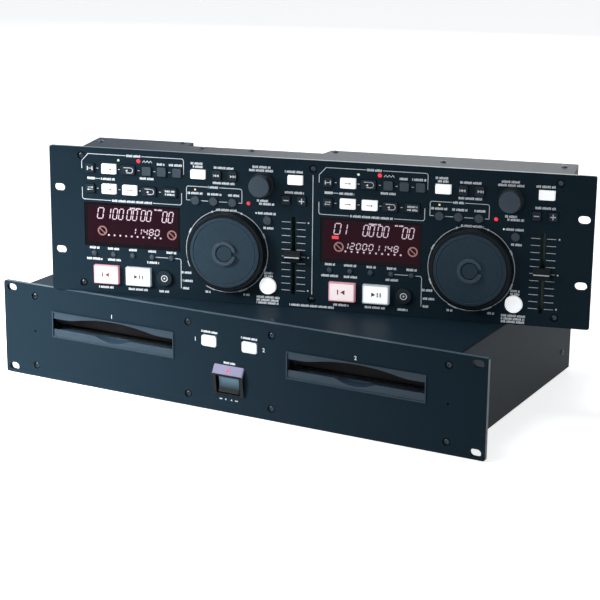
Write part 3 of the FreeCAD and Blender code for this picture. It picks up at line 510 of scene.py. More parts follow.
# %% Key, ink and lamp finishes
def glowing(name, dark, light, glow, strength, grain_mm=3.0, roughness=0.35):
    """Translucent plastic with a lamp behind it."""
    finish = textured(name, dark, light, grain_mm, roughness, 2)
    shader = finish.node_tree.nodes["Principled BSDF"]
    shader.inputs["Emission Color"].default_value = linear(glow)
    shader.inputs["Emission Strength"].default_value = strength
    return finish


# Translucent white plastic, lit from behind: clean white with a hint of cool shade at its edges.
lit_white = glowing("lit_white_key_plastic", "E8ECEE", "F8FAFB", "FFFFFF", 0.60)
# The cue key is the same plastic over a red lamp that shows through as a pink cast.
lit_pink = glowing("lit_pink_key_plastic", "F2E2E3", "FAEEEE", "FFF0F0", 0.45)
# The rim under the cue key where the red lamp leaks out.
pink_edge = glowing("pink_key_edge", "C98F98", "DCA6AE", "E8A0AA", 0.30)
# The play key's sides, outside its lit middle, are the same plastic in shade.
cool_edge = glowing("cool_key_edge", "AEB8C0", "C4CDD4", "C8D2DA", 0.25)
# Screen ink: white with a grey breath, matt.
ink = textured("white_screen_ink", "DCE2E6", "F0F4F6", 1.0, 0.62, 2)
# Ink on the white keys is a soft black.
dark_ink = textured("black_screen_ink", "1B1D20", "2A2D31", 1.0, 0.60, 2)
# Ink on the cue key is a dull wine red.
red_ink = textured("wine_screen_ink", "6E3A44", "844A54", 1.0, 0.60, 2)
# Lamp lenses are tinted clear plastic, polished, and glow evenly in their own colour.
red_lamp = glowing("red_lamp_lens", "8E1A22", "B0242C", "E8303A", 0.9, 1.0, 0.2)
green_lamp = glowing("green_lamp_lens", "8FB59A", "B7D6BE", "CFEFD4", 0.7, 1.0, 0.2)
yellow_lamp = glowing("yellow_lamp_lens", "B9A86A", "D6C98E", "EFE2A8", 0.7, 1.0, 0.2)
print("finishes so far:", len(bpy.data.materials))

# %% [markdown]
# ## Small shapes for icons and printing
#
# The icons are bars, triangles, discs and hoops a few hundredths of a millimetre thick. Each lies with
# its back sunk in what it is printed on, so that it never floats and never flickers against it. A line
# of small printing is a row of short blocks: it has the rhythm of lettering and says nothing.

# %% Prisms and lines
INK_THICK = 0.03


def prism(bm, x, z, y, radius, sides, turned=0.0, thick=INK_THICK, finish=0):
    """A flat prism facing front at depth y: 3 sides make a triangle that points right, many a disc."""
    set_down = (Matrix.Translation((x, y, z)) @ Matrix.Rotation(math.radians(turned + 90), 4, "Y")
                @ Matrix.Rotation(math.radians(90), 4, "X"))
    made = bmesh.ops.create_cone(bm, cap_ends=True, segments=sides, radius1=radius, radius2=radius,
                                 depth=2 * thick, matrix=set_down)["verts"]
    return finished(made, finish)


def line(bm, start, end, y, width, finish=0):
    """A straight printed stroke between two (x, z) points."""
    across, up = end[0] - start[0], end[1] - start[1]
    length = math.hypot(across, up) + width
    set_down = (Matrix.Translation(((start[0] + end[0]) / 2, y, (start[1] + end[1]) / 2))
                @ Matrix.Rotation(-math.atan2(up, across), 4, "Y")
                @ Matrix.Diagonal((length, 2 * INK_THICK, width, 1)))
    finished(bmesh.ops.create_cube(bm, size=1, matrix=set_down)["verts"], finish)


def stroke(bm, points, y, width):
    """A printed line through several points."""
    for start, end in zip(points, points[1:]):
        line(bm, start, end, y, width)


print("ink is %.2f mm thick" % INK_THICK)

# %% Hoops and small printing
def hoop(bm, x, z, y, inner, outer, start=0.0, stop=360.0, thick=INK_THICK, finish=0):
    """A flat ring, or an arc of one, by degrees from the right and up. Both ends of an arc are closed."""
    corners = [bm.verts.new((x + radius, depth, z))
               for radius, depth in ((inner, y - thick), (outer, y - thick), (outer, y + thick),
                                     (inner, y + thick))]
    face = bm.faces.new(corners)
    old = set(bm.faces) - {face}
    bmesh.ops.rotate(bm, verts=corners, cent=(x, 0, z),
                     matrix=Matrix.Rotation(-math.radians(start), 3, "Y"))
    whole = stop - start >= 360
    edges = list(face.edges)
    if whole:
        bmesh.ops.delete(bm, geom=[face], context="FACES_ONLY")
    steps = max(2, round((stop - start) / 5))
    bmesh.ops.spin(bm, geom=edges if whole else [face], cent=(x, 0, z), axis=(0, 1, 0),
                   angle=-math.radians(stop - start), steps=steps, use_merge=whole)
    for made in bm.faces:
        if made not in old:
            made.material_index = finish


GLYPHS = (1.2, 0.8, 1.4, 1.0, 0.6, 1.3, 1.1)
GLYPH_GAP, WORD_GAP = 0.18, 0.9
TALL, SHORT = 0.5, 0.36


def small_print(bm, x0, x1, z, y=0.0, height=2.1, finish=0):
    """A row of short blocks in the rhythm of small lettering: every third is short, every sixth ends a
    word."""
    x, count = x0, int(abs(x0 * 7 + z))
    while x < x1 - 0.3:
        width = min(GLYPHS[count % len(GLYPHS)], x1 - x)
        top = height * (TALL if count % 3 else SHORT)
        block(bm, (x, x + width), (y - INK_THICK, y + INK_THICK), (z - height / 2, z + top), finish)
        x += width + (WORD_GAP if count % 6 == 5 else GLYPH_GAP)
        count += 1


print("small printing has", len(GLYPHS), "widths of block")

# %% [markdown]
# ## Keys
#
# A key cap is a block whose four upright corners are rounded first and whose front rim is rounded
# after, in that order, because a moulded cap has a larger corner radius than rim radius. Behind the
# panel each cap keeps its stop flange and stem. The icon is part of the key, so it travels with it.

# %% One key cap
# The flange stands behind the 3 mm panel, wider than the hole, and stops the key from falling out.
FLANGE, FLANGE_LIP = (3.3, 4.5), 1.1
STEM_END, STEM_HALF = 10.6, 1.5
CORNER, RIM = 0.9, 0.45
CAP, ICON = 0, 1


def square(bm, x, z, half_w, half_h, y, finish):
    """A block about x and z, as far to each side as given."""
    return block(bm, (x - half_w, x + half_w), y, (z - half_h, z + half_h), finish)


def round_upright(bm, made, offset, segments):
    """Rounds the four edges of a new block that run from front to back."""
    upright = [edge for edge in bm.edges
               if set(edge.verts) <= set(made) and edge.verts[0].co.xz == edge.verts[1].co.xz]
    bmesh.ops.bevel(bm, geom=upright, offset=offset, affect="EDGES", segments=segments, profile=0.5,
                    material=-1)


def key_cap(bm, x, z, width, height, proud, finish=CAP):
    """A cap with round corners and a round rim, its stop flange and its stem."""
    half_w, half_h = width / 2, height / 2
    round_upright(bm, square(bm, x, z, half_w, half_h, (-proud, FLANGE[0]), finish), CORNER, 4)
    front = [edge for edge in bm.edges
             if all(abs(vert.co.y + proud) < 1e-4 and abs(vert.co.x - x) < half_w + 0.01
                    and abs(vert.co.z - z) < half_h + 0.01 for vert in edge.verts)]
    bmesh.ops.bevel(bm, geom=front, offset=RIM, affect="EDGES", segments=3, profile=0.5, material=-1)
    square(bm, x, z, half_w + FLANGE_LIP, half_h + FLANGE_LIP, FLANGE, finish)
    square(bm, x, z, STEM_HALF, STEM_HALF, (FLANGE[1], STEM_END), finish)


print("a key's stem ends %.1f mm behind the panel's face" % STEM_END)

# %% The icons
def arrow(bm, x, z, y, size, turned=0.0):
    """A solid triangle that points right, or as far round from there as it is turned."""
    prism(bm, x, z, y, size, 3, turned, finish=ICON)


def sign(bm, kind, x, z, y):
    """One icon, by its everyday meaning."""
    if kind == "play":
        arrow(bm, x - 2.6, z, y, 2.4)
        for step in (1.6, 4.2):
            line(bm, (x + step, z - 1.4), (x + step, z + 1.4), y, 1.1, ICON)
    elif kind == "cue":
        arrow(bm, x + 1.4, z, y, 2.6, 180)
        line(bm, (x - 3.4, z - 1.7), (x - 3.4, z + 1.7), y, 1.1, ICON)
    elif kind in ("back", "forward"):
        for step in (-1.1, 1.3):
            arrow(bm, x + step, z, y, 1.5, 180 if kind == "back" else 0)
        side = -2.8 if kind == "back" else 3.0
        line(bm, (x + side, z - 1.0), (x + side, z + 1.0), y, 0.5, ICON)
    elif kind in ("minus", "plus"):
        line(bm, (x - 1.9, z), (x + 1.9, z), y, 0.9, ICON)
        if kind == "plus":
            line(bm, (x, z - 1.9), (x, z + 1.9), y, 0.9, ICON)
    elif kind == "link":
        for step in (-2.2, 2.2):
            line(bm, (x + step, z - 1.3), (x + step, z + 1.3), y, 0.9, ICON)
        line(bm, (x - 2.2, z), (x + 2.2, z), y, 0.6, ICON)
    elif kind == "swap":
        line(bm, (x - 1.9, z + 1.0), (x + 1.6, z + 1.0), y, 0.55, ICON)
        line(bm, (x - 1.6, z - 1.0), (x + 1.9, z - 1.0), y, 0.55, ICON)
        arrow(bm, x + 1.9, z + 1.0, y, 1.0)
        arrow(bm, x - 1.9, z - 1.0, y, 1.0, 180)
    elif kind == "loop":
        hoop(bm, x + 2.2, z, y, 2.0, 2.6, -90, 90, finish=ICON)
        line(bm, (x - 3.6, z + 2.3), (x + 2.2, z + 2.3), y, 0.6, ICON)
        line(bm, (x - 1.2, z - 2.3), (x + 2.2, z - 2.3), y, 0.6, ICON)
        arrow(bm, x - 1.0, z - 0.4, y, 1.4, 180)
    elif kind == "start":
        line(bm, (x - 2.4, z), (x + 1.8, z), y, 0.6, ICON)
        arrow(bm, x + 2.0, z, y, 1.1)
    elif kind == "rows":
        for step in (-1.4, 1.4):
            small_print(bm, x - 4.4, x + 4.4, z + step, y, 1.7, ICON)
    elif kind == "ring":
        hoop(bm, x, z, y, 2.3, 3.1, finish=ICON)
        prism(bm, x, z, y, 0.9, 24, finish=ICON)


PLATE_INSET, PLATE_CORNER = 1.1, 1.2


def face_plate(bm, x, z, width, height, y, finish):
    """The paler middle of a big lit key, with round corners."""
    made = square(bm, x, z, width / 2 - PLATE_INSET, height / 2 - PLATE_INSET,
                  (y - INK_THICK / 2, y + INK_THICK), finish)
    round_upright(bm, made, PLATE_CORNER, 5)


print("a lit plate stands in %.1f mm from its key's sides" % PLATE_INSET)

# %% Every straight-sided key of both decks
ROW_1, ROW_2 = 114.0, 95.9
SMALL, WHITE, WIDE, JUMP = (8.0, 7.8), (13.4, 8.8), (12.8, 8.0), (7.8, 8.6)
TOP, BEND, BIG = (13.2, 8.0), (7.6, 7.6), (23.4, 17.0)
SMALL_PROUD, BIG_PROUD = 1.5, 2.6
# node: (x from the deck's middle, z, size, sign, blank grey cap)
KEYS = {
    "start_keys": [(-77.4, ROW_1, WHITE, "start", False), (-77.4, ROW_2, WHITE, "start", False),
                   (-58.2, ROW_2, WHITE, "start", False)],
    "option_keys": [(-94.8, ROW_1, SMALL, "link", False), (-94.8, ROW_2, SMALL, "swap", False),
                    (-42.2, ROW_1, SMALL, None, True), (-28.3, ROW_1, SMALL, None, True),
                    (-14.3, ROW_1, SMALL, None, True), (-59.3, ROW_1, WIDE, "loop", False),
                    (-40.1, ROW_2, WIDE, "loop", False), (-20.8, ROW_2, WIDE, "rows", False)],
    "jump_keys": [(22.1, ROW_1, JUMP, "back", False), (36.2, ROW_1, JUMP, "forward", False)],
    "next_track_key": [(4.9, ROW_1, TOP, None, False)],
    "disc_eject_key": [(92.4, ROW_1, TOP, None, False)],
    "bend_minus_key": [(84.6, ROW_2, BEND, "minus", False)],
    "bend_plus_key": [(98.5, ROW_2, BEND, "plus", False)],
    "cue_button": [(-81.0, 17.6, BIG, "cue", False)],
    "play_button": [(-50.9, 17.6, BIG, "play", False)],
}
KEY_FINISHES = {"start_keys": ("lit_white_key", lit_white, dark_ink, ink),
                "next_track_key": ("lit_white_key", lit_white, dark_ink, ink),
                "disc_eject_key": ("lit_white_key", lit_white, dark_ink, ink),
                "play_button": ("lit_white_key", cool_edge, dark_ink, lit_white),
                "cue_button": ("cue_key", pink_edge, red_ink, lit_pink)}
BLANK, PLATE = 2, 3
for number, deck_x in DECKS.items():
    for node, keys in KEYS.items():
        bm = bmesh.new()
        proud = BIG_PROUD if keys[0][2] is BIG else SMALL_PROUD
        for x, z, (width, height), kind, blank in keys:
            key_cap(bm, deck_x + x, z, width, height, proud, BLANK if blank else CAP)
            if proud == BIG_PROUD:
                face_plate(bm, deck_x + x, z, width, height, -proud, PLATE)
            if kind:
                sign(bm, kind, deck_x + x, z, -proud)
        slot, cap, mark, plate = KEY_FINISHES.get(node, ("grey_key", key_abs, ink, ink))
        name = "%s_%d" % (node, number)
        settle(name + "_caps", bm, CONTROLLER, name, [cap, mark, blank_abs, plate], [name])
print("key nodes dressed:", 2 * len(KEYS))

# %% [markdown]
# ## Round keys
#
# The round keys are turned on a lathe path: a flat crown, a rounded shoulder and a straight side that
# runs into the panel. The tap key carries a small ring with a dot in it, and the scratch key is lit.

# %% Round keys of both decks
ROUND_LIP, ROUND_STEM = 0.7, 1.2


def round_cap(bm, x, z, radius, proud):
    """A turned cap with a rounded shoulder, its stop flange and its stem."""
    shoulder = min(0.5, radius * 0.2)
    profile = [(0, -proud), (radius - shoulder, -proud), (radius - shoulder * 0.3, -proud + shoulder * 0.3),
               (radius, -proud + shoulder), (radius, FLANGE[0]), (0, FLANGE[0])]
    turn(bm, profile, x, z, 40, CAP)
    square(bm, x, z, radius + ROUND_LIP, radius + ROUND_LIP, FLANGE, CAP)
    square(bm, x, z, ROUND_STEM, ROUND_STEM, (FLANGE[1], STEM_END), CAP)


# node: (x from the deck's middle, z, radius, how far it stands out)
ROUND = {"round_keys": [(x, 90.6, 3.8, 1.3) for x in (2.4, 18.9, 36.2)] + [(67.8, 76.8, 3.8, 1.3)]
         + [(-92.5 + 18.1 * step, 36.5, 2.3, 1.0) for step in range(5)],
         "tap_button": [(-26.4, 17.9, 7.0, 2.0)], "scratch_button": [(68.5, 17.9, 7.3, 2.0)]}
ROUND_FINISHES = {"round_keys": ("grey_key", blank_abs), "tap_button": ("grey_key", key_abs),
                  "scratch_button": ("lit_white_key", lit_white)}
for number, deck_x in DECKS.items():
    for node, keys in ROUND.items():
        bm = bmesh.new()
        for x, z, radius, proud in keys:
            round_cap(bm, deck_x + x, z, radius, proud)
            if node == "tap_button":
                sign(bm, "ring", deck_x + x, z, -proud)
        slot, cap = ROUND_FINISHES[node]
        name = "%s_%d" % (node, number)
        settle(name + "_caps", bm, CONTROLLER, name, [cap, ink], [name])
print("round keys per deck:", sum(len(keys) for keys in ROUND.values()))

# %% [markdown]
# ## Jog disc, shuttle ring and track knob
#
# The jog disc is the piece a hand rests on, so it gets the most care: a shallow rubbed face, a fine
# groove near its rim, and a raised hub ring that is open at the right, where a finger finds it. Turned
# profiles make all the wheels. Only the hub ring is an arc, so it is made as a hoop and not turned.

# %% Wheel finishes
# Soft-touch paint on the jog disc: slate grey, broad soft highlight, a trace of wear in the mottle.
jog_paint = textured("soft_touch_slate", "2A3A45", "364855", 2.2, 0.50, 5, Specular_IOR_Level=0.12)
# The hub ring is the same paint a shade lighter: a painted highlight of the light that its raised rim catches.
hub_highlight = textured("painted_hub_highlight", "34434E", "45545F", 1.6, 0.40, 5, Specular_IOR_Level=0.25)
# Shuttle ring and fader: black plastic, satin.
ring_abs = textured("satin_black_ring", "0B1013", "131A1F", 0.8, 0.40, 4, Specular_IOR_Level=0.12)
# Knob: dark grey plastic with a paler, slightly shiny crown.
knob_abs = textured("knob_plastic", "161D22", "212A31", 0.8, 0.42, 4, Specular_IOR_Level=0.3)
crown_abs = textured("knob_crown", "33404A", "435260", 0.8, 0.34, 3, Specular_IOR_Level=0.3)
print("finishes so far:", len(bpy.data.materials))

# %% Profiles of the wheels
JOG_X, JOG_Z, JOG_RADIUS = 31.0, 46.5, 31.6
KNOB_X, KNOB_Z, KNOB_RADIUS, KNOB_STEPS = 63.0, 108.6, 9.4, 72
PITCH_X, PITCH_Z = 91.4, 46.5
SHAFT_R, SHAFT_END = 3.0, 15.0
# Profiles are (radius, y) points. The front is at negative y, and the last points make the shaft.
JOG_PROFILE = [(0, -8.0), (27.6, -8.0), (27.9, -7.7), (28.5, -7.7), (28.8, -8.0), (30.6, -8.0),
               (31.3, -7.7), (JOG_RADIUS, -7.0), (JOG_RADIUS, -1.0), (SHAFT_R, -1.0), (SHAFT_R, SHAFT_END),
               (0, SHAFT_END)]
HUB_PROFILE = [(0, -9.3), (6.7, -9.3), (7.2, -8.9), (7.3, -7.5), (0, -7.5)]
HUB_FRONT = -9.9
RING_PROFILE = [(32.0, -0.05), (32.0, -7.2), (34.1, -7.2), (34.7, -6.9), (35.3, -0.05)]
KNOB_PROFILE = [(0, -12.5), (8.2, -12.5), (9.0, -12.2), (KNOB_RADIUS, -11.7), (KNOB_RADIUS, -2.6),
                (10.4, -2.6), (10.6, -2.3), (10.6, -0.5), (SHAFT_R, -0.5), (SHAFT_R, SHAFT_END),
                (0, SHAFT_END)]
CROWN_Y = -12.2
# The open ring on the hub, and the knob's grip: from where to where on its side, and how deep.
HUB_RING = {"y": -8.95, "inner": 7.6, "outer": 10.8, "start": 12, "stop": 348, "thick": 1.0}
GRIP_FRONT, GRIP_BACK, GRIP_DEPTH = -11.8, -2.5, 0.3
print("jog disc %.1f mm across, knob %.1f mm" % (2 * JOG_RADIUS, 2 * KNOB_RADIUS))

# %% Wheels and faders of both decks
def ripple_grip(bm, x, z):
    """Presses every other strip of the knob's side inward, as a grip."""
    for vert in bm.verts:
        out = Vector((vert.co.x - x, vert.co.z - z))
        if GRIP_FRONT < vert.co.y < GRIP_BACK and abs(out.length - KNOB_RADIUS) < 1e-3:
            step = round(math.atan2(out.y, out.x) / math.tau * KNOB_STEPS)
            if step % 2:
                vert.co.x -= out.normalized().x * GRIP_DEPTH
                vert.co.z -= out.normalized().y * GRIP_DEPTH


for number, deck_x in DECKS.items():
    bm = bmesh.new()
    x = deck_x + JOG_X
    turn(bm, JOG_PROFILE, x, JOG_Z, 120)
    # The open hub ring takes the lighter finish, a painted highlight.
    hoop(bm, x, JOG_Z, finish=1, **HUB_RING)
    turn(bm, HUB_PROFILE, x, JOG_Z, 60)
    soften(bm, 0.35, 3, 60, only=lambda edge: all(vert.co.y < HUB_FRONT for vert in edge.verts))
    settle("jog_disc_%d_wheel" % number, bm, CONTROLLER, "jog_disc_%d" % number,
           [jog_paint, hub_highlight], ["jog_disc_%d" % number])
    bm = bmesh.new()
    corners = [bm.verts.new((x + radius, y, JOG_Z)) for radius, y in RING_PROFILE]
    edges = [bm.edges.new(pair) for pair in zip(corners, corners[1:] + corners[:1])]
    bmesh.ops.spin(bm, geom=corners + edges, cent=(x, 0, JOG_Z), axis=(0, 1, 0), angle=math.tau, steps=120,
                   use_merge=True)
    settle("shuttle_ring_%d_ring" % number, bm, CONTROLLER, "shuttle_ring_%d" % number,
           [ring_abs], ["shuttle_ring_%d" % number])
    bm = bmesh.new()
    x = deck_x + KNOB_X
    turn(bm, KNOB_PROFILE, x, KNOB_Z, KNOB_STEPS)
    ripple_grip(bm, x, KNOB_Z)
    for face in bm.faces:
        if face.calc_center_median().y < CROWN_Y:
            face.material_index = 1
    settle("track_knob_%d_knob" % number, bm, CONTROLLER, "track_knob_%d" % number,
           [knob_abs, crown_abs], ["track_knob_%d" % number])
    bm = solid_copy("pitch_slider_%d" % number, CONTROLLER)
    soften(bm, 0.3, 2)
    x = deck_x + PITCH_X
    line(bm, (x - 6.2, PITCH_Z), (x + 6.2, PITCH_Z), -6.4, 0.9, 1)
    settle("pitch_slider_%d_cap" % number, bm, CONTROLLER, "pitch_slider_%d" % number,
           [ring_abs, ink], ["pitch_slider_%d" % number])
print("wheels turned for", len(DECKS), "decks")

# %% [markdown]
# ## Displays
#
# Each display is a fluorescent tube module behind smoked acrylic. Unlit, the acrylic is nearly black.
# Where the module is, it glows a deep wine red, and the lit segments are a pale pink white. The digits
# are slanted seven-segment figures, so each is up to seven bars, leaned over by a shear.

# %% Display finishes
# Smoked acrylic: nearly black, polished, with a clear reflection.
smoke = textured("smoked_acrylic", "08060A", "0E0A0E", 6.0, 0.16, 1, Specular_IOR_Level=0.1)
# The unlit tube behind it glows a little, in a dark and uneven wine red.
tube_glow = glowing("tube_glow", "0A0307", "17060E", "661238", 0.11, 5.0, 0.3)
tube_glow.node_tree.nodes["Principled BSDF"].inputs["Specular IOR Level"].default_value = 0.08
# Lit segments are a pale pink white through the smoke, and the marks beside them a dull rose.
segment_glow = glowing("lit_segment", "B9A2AE", "CDB8C3", "E6CFDB", 0.45, 1.0, 0.3)
icon_glow = glowing("lit_icon_ring", "7A5250", "946A66", "B0807C", 0.35, 1.0, 0.3)
print("display finishes made, finishes so far:", len(bpy.data.materials))

# %% A slanted seven-segment figure
SEGMENTS = {"0": "abcdef", "1": "bc", "2": "abged", "3": "abgcd", "4": "fgbc", "5": "afgcd", "6": "afgedc",
            "7": "abc", "8": "abcdefg", "9": "abcdfg"}
LEAN = math.radians(9)


def digit(bm, figure, x, z, width, height, y, bar, finish):
    """A seven-segment figure, its lower left corner at x, z."""
    old = set(bm.verts)
    half, gap = height / 2, bar * 0.55
    places = {"a": ((gap, height), (width - gap, height)), "g": ((gap, half), (width - gap, half)),
              "d": ((gap, 0), (width - gap, 0)), "f": ((0, half + gap), (0, height - gap)),
              "b": ((width, half + gap), (width, height - gap)), "e": ((0, gap), (0, half - gap)),
              "c": ((width, gap), (width, half - gap))}
    for name in SEGMENTS[figure]:
        (x0, z0), (x1, z1) = places[name]
        side = bar / 2 if x0 == x1 else 0
        rise = bar / 2 if z0 == z1 else 0
        block(bm, (x + x0 - side, x + x1 + side), (y - INK_THICK, y + INK_THICK),
              (z + z0 - rise, z + z1 + rise), finish)
    for vert in set(bm.verts) - old:
        vert.co.x += math.tan(LEAN) * (vert.co.z - z)


print("figures known:", len(SEGMENTS))

# %% Both displays
GLASS_Y = 0.6
# Upper line: figure and its left edge. Lower line: smaller figures. Both from the deck's middle.
UPPER = {1: ((0, -89.5), (1, -81.5), (0, -75.2), (0, -69.6), (0, -62.0), (0, -56.6), (0, -49.0), (0, -43.6),
             (0, -29.0), (0, -23.4)),
         2: ((0, -89.5), (1, -82.5), (0, -64.0), (0, -58.6), (0, -51.4), (0, -46.0), (0, -29.6), (0, -24.0))}
LOWER = {1: ((1, -57.5), (1, -52.0), (4, -46.5), (8, -41.0), (0, -35.5)),
         2: ((1, -80.5), (2, -75.0), (0, -69.5), (0, -64.0), (0, -58.5), (1, -53.0), (1, -47.5), (4, -42.0),
             (8, -36.5))}
# The tube module's sides, and its foot and top. The first figures are wider, for the track's number.
MODULE_SIDES, MODULE_HEIGHTS = (-98.4, -14.6), (46.6, 80.9)
UPPER_Z, UPPER_HEIGHT, UPPER_WIDTH, TRACK_WIDTH, TRACK_END = 68.6, 9.6, 3.8, 5.2, -85
LOWER_Z, LOWER_HEIGHT, LOWER_WIDTH = 56.0, 5.4, 3.4
TUBE, LIT, DIAL, REPEAT = 1, 2, 3, 4
for number, deck_x in DECKS.items():
    bm = solid_copy("display_window_%d" % number, CONTROLLER)
    soften(bm, 0.15, 2)
    block(bm, [deck_x + x for x in MODULE_SIDES], (GLASS_Y - 0.02, GLASS_Y + 0.02), MODULE_HEIGHTS, TUBE)
    y = GLASS_Y - 0.05
    for figure, left in UPPER[number]:
        width = TRACK_WIDTH if left < TRACK_END else UPPER_WIDTH
        digit(bm, str(figure), deck_x + left, UPPER_Z, width, UPPER_HEIGHT, y, 0.85, LIT)
    for figure, left in LOWER[number]:
        digit(bm, str(figure), deck_x + left, LOWER_Z, LOWER_WIDTH, LOWER_HEIGHT, y, 0.8, LIT)
    for step in range(10):
        prism(bm, deck_x - 78.8 + 5.4 * step, 53.8, y, 0.85, 20, finish=LIT)
    for left, right in ((-58.6, -48.2), (-35.8, -28.6)):
        small_print(bm, deck_x + left, deck_x + right, 79.4, y, 1.3, LIT)
    for middle in (-84.8, -19.8):
        hoop(bm, deck_x + middle, 57.4, y, 3.2, 4.4, finish=DIAL)
        line(bm, (deck_x + middle - 2.0, 59.2), (deck_x + middle + 2.2, 55.4), y, 0.9, DIAL)
    if number == 2:
        block(bm, (deck_x - 91.0, deck_x - 85.0), (y - INK_THICK, y + INK_THICK), (64.2, 67.0), REPEAT)
    settle("display_window_%d_lit" % number, bm, CONTROLLER, "controller_unit",
           [smoke, tube_glow, segment_glow, icon_glow, red_lamp], ["display_window_%d" % number])
print("displays lit with", len(UPPER[1]) + len(LOWER[1]), "figures on deck 1")

# %% [markdown]
# ## Printing on the controller
#
# Thin printed lines tie the keys into groups, and scales run beside the fader and round the jog disc.
# All of one deck's ink is one piece, drawn from the deck's middle, so both decks share the drawing.

# %% Places of the captions
# Each is (left end, right end, height), from the deck's middle.
CAPTIONS = ((-61.0, -48.0, 126.7), (-75.0, -37.5, 85.5), (-1.8, 9.2, 123.5), (0.2, 9.2, 120.7),
            (19.2, 37.2, 120.8), (18.2, 38.2, 107.3), (54.2, 70.2, 123.7), (51.2, 73.2, 120.7),
            (83.2, 99.2, 121.2), (-32.8, -25.8, 120.7), (-21.8, -9.8, 120.7), (-48.8, -35.8, 107.2),
            (21.2, 40.2, 83.5), (58.2, 68.2, 94.0), (60.2, 74.2, 91.3), (59.2, 75.2, 82.9),
            (64.2, 73.2, 70.0), (83.2, 100.2, 102.9), (-96.8, -87.8, 41.5), (-79.8, -68.8, 41.5),
            (-59.8, -51.8, 41.5), (-41.8, -33.8, 41.5), (-24.8, -15.8, 41.5), (-99.8, -84.8, 31.3),
            (-79.8, -67.8, 31.3), (-42.8, -31.8, 31.3), (-88.8, -74.8, 5.5), (-60.8, -42.8, 5.5),
            (-31.8, -22.8, 5.5), (65.2, 73.2, 29.5), (65.2, 73.2, 26.8), (58.2, 79.2, 7.5),
            (58.2, 78.2, 4.8), (58.2, 78.2, 2.2), (11.2, 16.2, 8.3), (46.2, 52.2, 8.3), (-4.8, 9.2, 97.0),
            (13.2, 26.2, 97.0), (32.2, 42.2, 97.0), (-10.8, -1.8, 24.5), (-9.8, 0.2, 17.0),
            (-9.8, -3.8, 10.0), (13.8, 23.4, 103.1), (-85.0, -72.0, 104.8))
print("captions per deck:", len(CAPTIONS))

# %% Frames, links and scales of one deck
# Widths of the lines and the radius of their bends, the inner and outer radius of the circle round the
# jog disc, and the fader scale's lowest mark and the step between its marks.
RULE, BEND_RADIUS = 0.55, 2.0
CIRCLE = (37.0, 37.5)
FADER_FOOT, FADER_STEP = 15.4, 6.13


def deck_print(bm, deck_x):
    """All of a deck's ink. Every x in it is counted from the deck's middle."""
    def rule(*points, width=RULE):
        """A line through points."""
        stroke(bm, [(deck_x + x, z) for x, z in points], 0, width)

    def bend(x, z, start):
        """A quarter of a circle, from an angle counted from the right and up."""
        hoop(bm, deck_x + x, z, 0, BEND_RADIUS - RULE / 2, BEND_RADIUS + RULE / 2, start, start + 90)

    # row 1 frame: chamfered at the left, rounded at the right, with room for its caption
    rule((-102.8, 113.6), (-102.8, 120.0), (-96.8, 126.7), (-61.8, 126.7))
    rule((-46.8, 126.7), (-10.3, 126.7))
    bend(-10.3, 124.7, 0)
    rule((-8.3, 124.7), (-8.3, 113.0))
    # row 2 frame, open above
    rule((-102.8, 96.0), (-102.8, 87.5))
    bend(-100.8, 87.5, 180)
    rule((-100.8, 85.5), (-76.0, 85.5))
    rule((-36.5, 85.5), (-12.3, 85.5))
    bend(-12.3, 87.5, 270)
    rule((-10.3, 87.5), (-10.3, 96.0))
    # ticks between the keys of both rows
    for row, xs in ((ROW_1, (-88.3, -68.1, -49.8, -35.2, -21.3)), (ROW_2, (-88.3, -67.8, -48.9, -30.4))):
        for x in xs:
            rule((x - 0.6, row), (x + 0.6, row))
    # effects frame with its links
    rule((-5.8, 91.0), (-5.8, 101.1))
    bend(-3.8, 101.1, 90)
    rule((-3.8, 103.1), (13.0, 103.1))
    rule((24.5, 103.1), (42.7, 103.1))
    bend(42.7, 101.1, 0)
    rule((44.7, 101.1), (44.7, 91.0))
    for x0, x1 in ((-5.6, -2.6), (7.6, 13.8), (24.0, 31.0), (41.6, 44.5)):
        rule((x0, 90.6), (x1, 90.6))
    for x0, x1, z in CAPTIONS:
        small_print(bm, deck_x + x0, deck_x + x1, z)
    rule((-96.8, 104.8), (-91.8, 104.8), width=2.2)
    rule((-90.8, 104.8), (-86.0, 104.8))
    # links of the small keys, down to their three captions
    rule((-34.8, 36.5), (-23.6, 36.5))
    rule((-16.6, 36.5), (-13.3, 36.5))
    bend(-13.3, 34.5, 0)
    rule((-11.3, 34.5), (-11.3, 10.0))
    # hatched mark beside the red lamp
    for x in (-46.0, -43.0, -40.0):
        rule((x, 121.6), (x + 1.4, 123.2), (x + 2.6, 121.6), width=0.5)
    # circle round the jog disc, with dots and heavy arcs
    x = deck_x + JOG_X
    for start, stop in ((0, 197), (205, 335), (343, 360)):
        hoop(bm, x, JOG_Z, 0, *CIRCLE, start, stop)
    for start, stop in ((197, 205), (335, 343), (240, 253), (287, 300), (150, 157), (22, 29)):
        hoop(bm, x, JOG_Z, 0, CIRCLE[0] - 0.3, CIRCLE[1] + 0.6, start, stop)
    for angle in (111, 69):
        around = math.radians(angle)
        prism(bm, x + 37.3 * math.cos(around), JOG_Z + 37.3 * math.sin(around), 0, 0.9, 16)
    # fader scale
    for step in range(11):
        z = FADER_FOOT + FADER_STEP * step
        rule((81.0, z), (88.4, z), width=0.45)
        rule((94.4, z), (101.8, z), width=0.45)
    for z in (76.8, 45.8, 15.9):
        prism(bm, deck_x + 104.6, z, 0, 0.75, 16)


print("the fader's scale is %.1f mm long" % (10 * FADER_STEP))

# %% Lamps, and the ink set down
LENS_HEIGHT = 0.7
# colour: (finish, then x from the deck's middle, z and radius of each lamp)
LAMPS = {"red": (red_lamp, (-49.8, 122.5, 1.9), (50.7, 90.9, 1.7)),
         "green": (green_lamp, (-68.4, 122.2, 1.1), (57.6, 82.8, 0.8)),
         "yellow": (yellow_lamp, (2.2, 100.3, 0.9))}


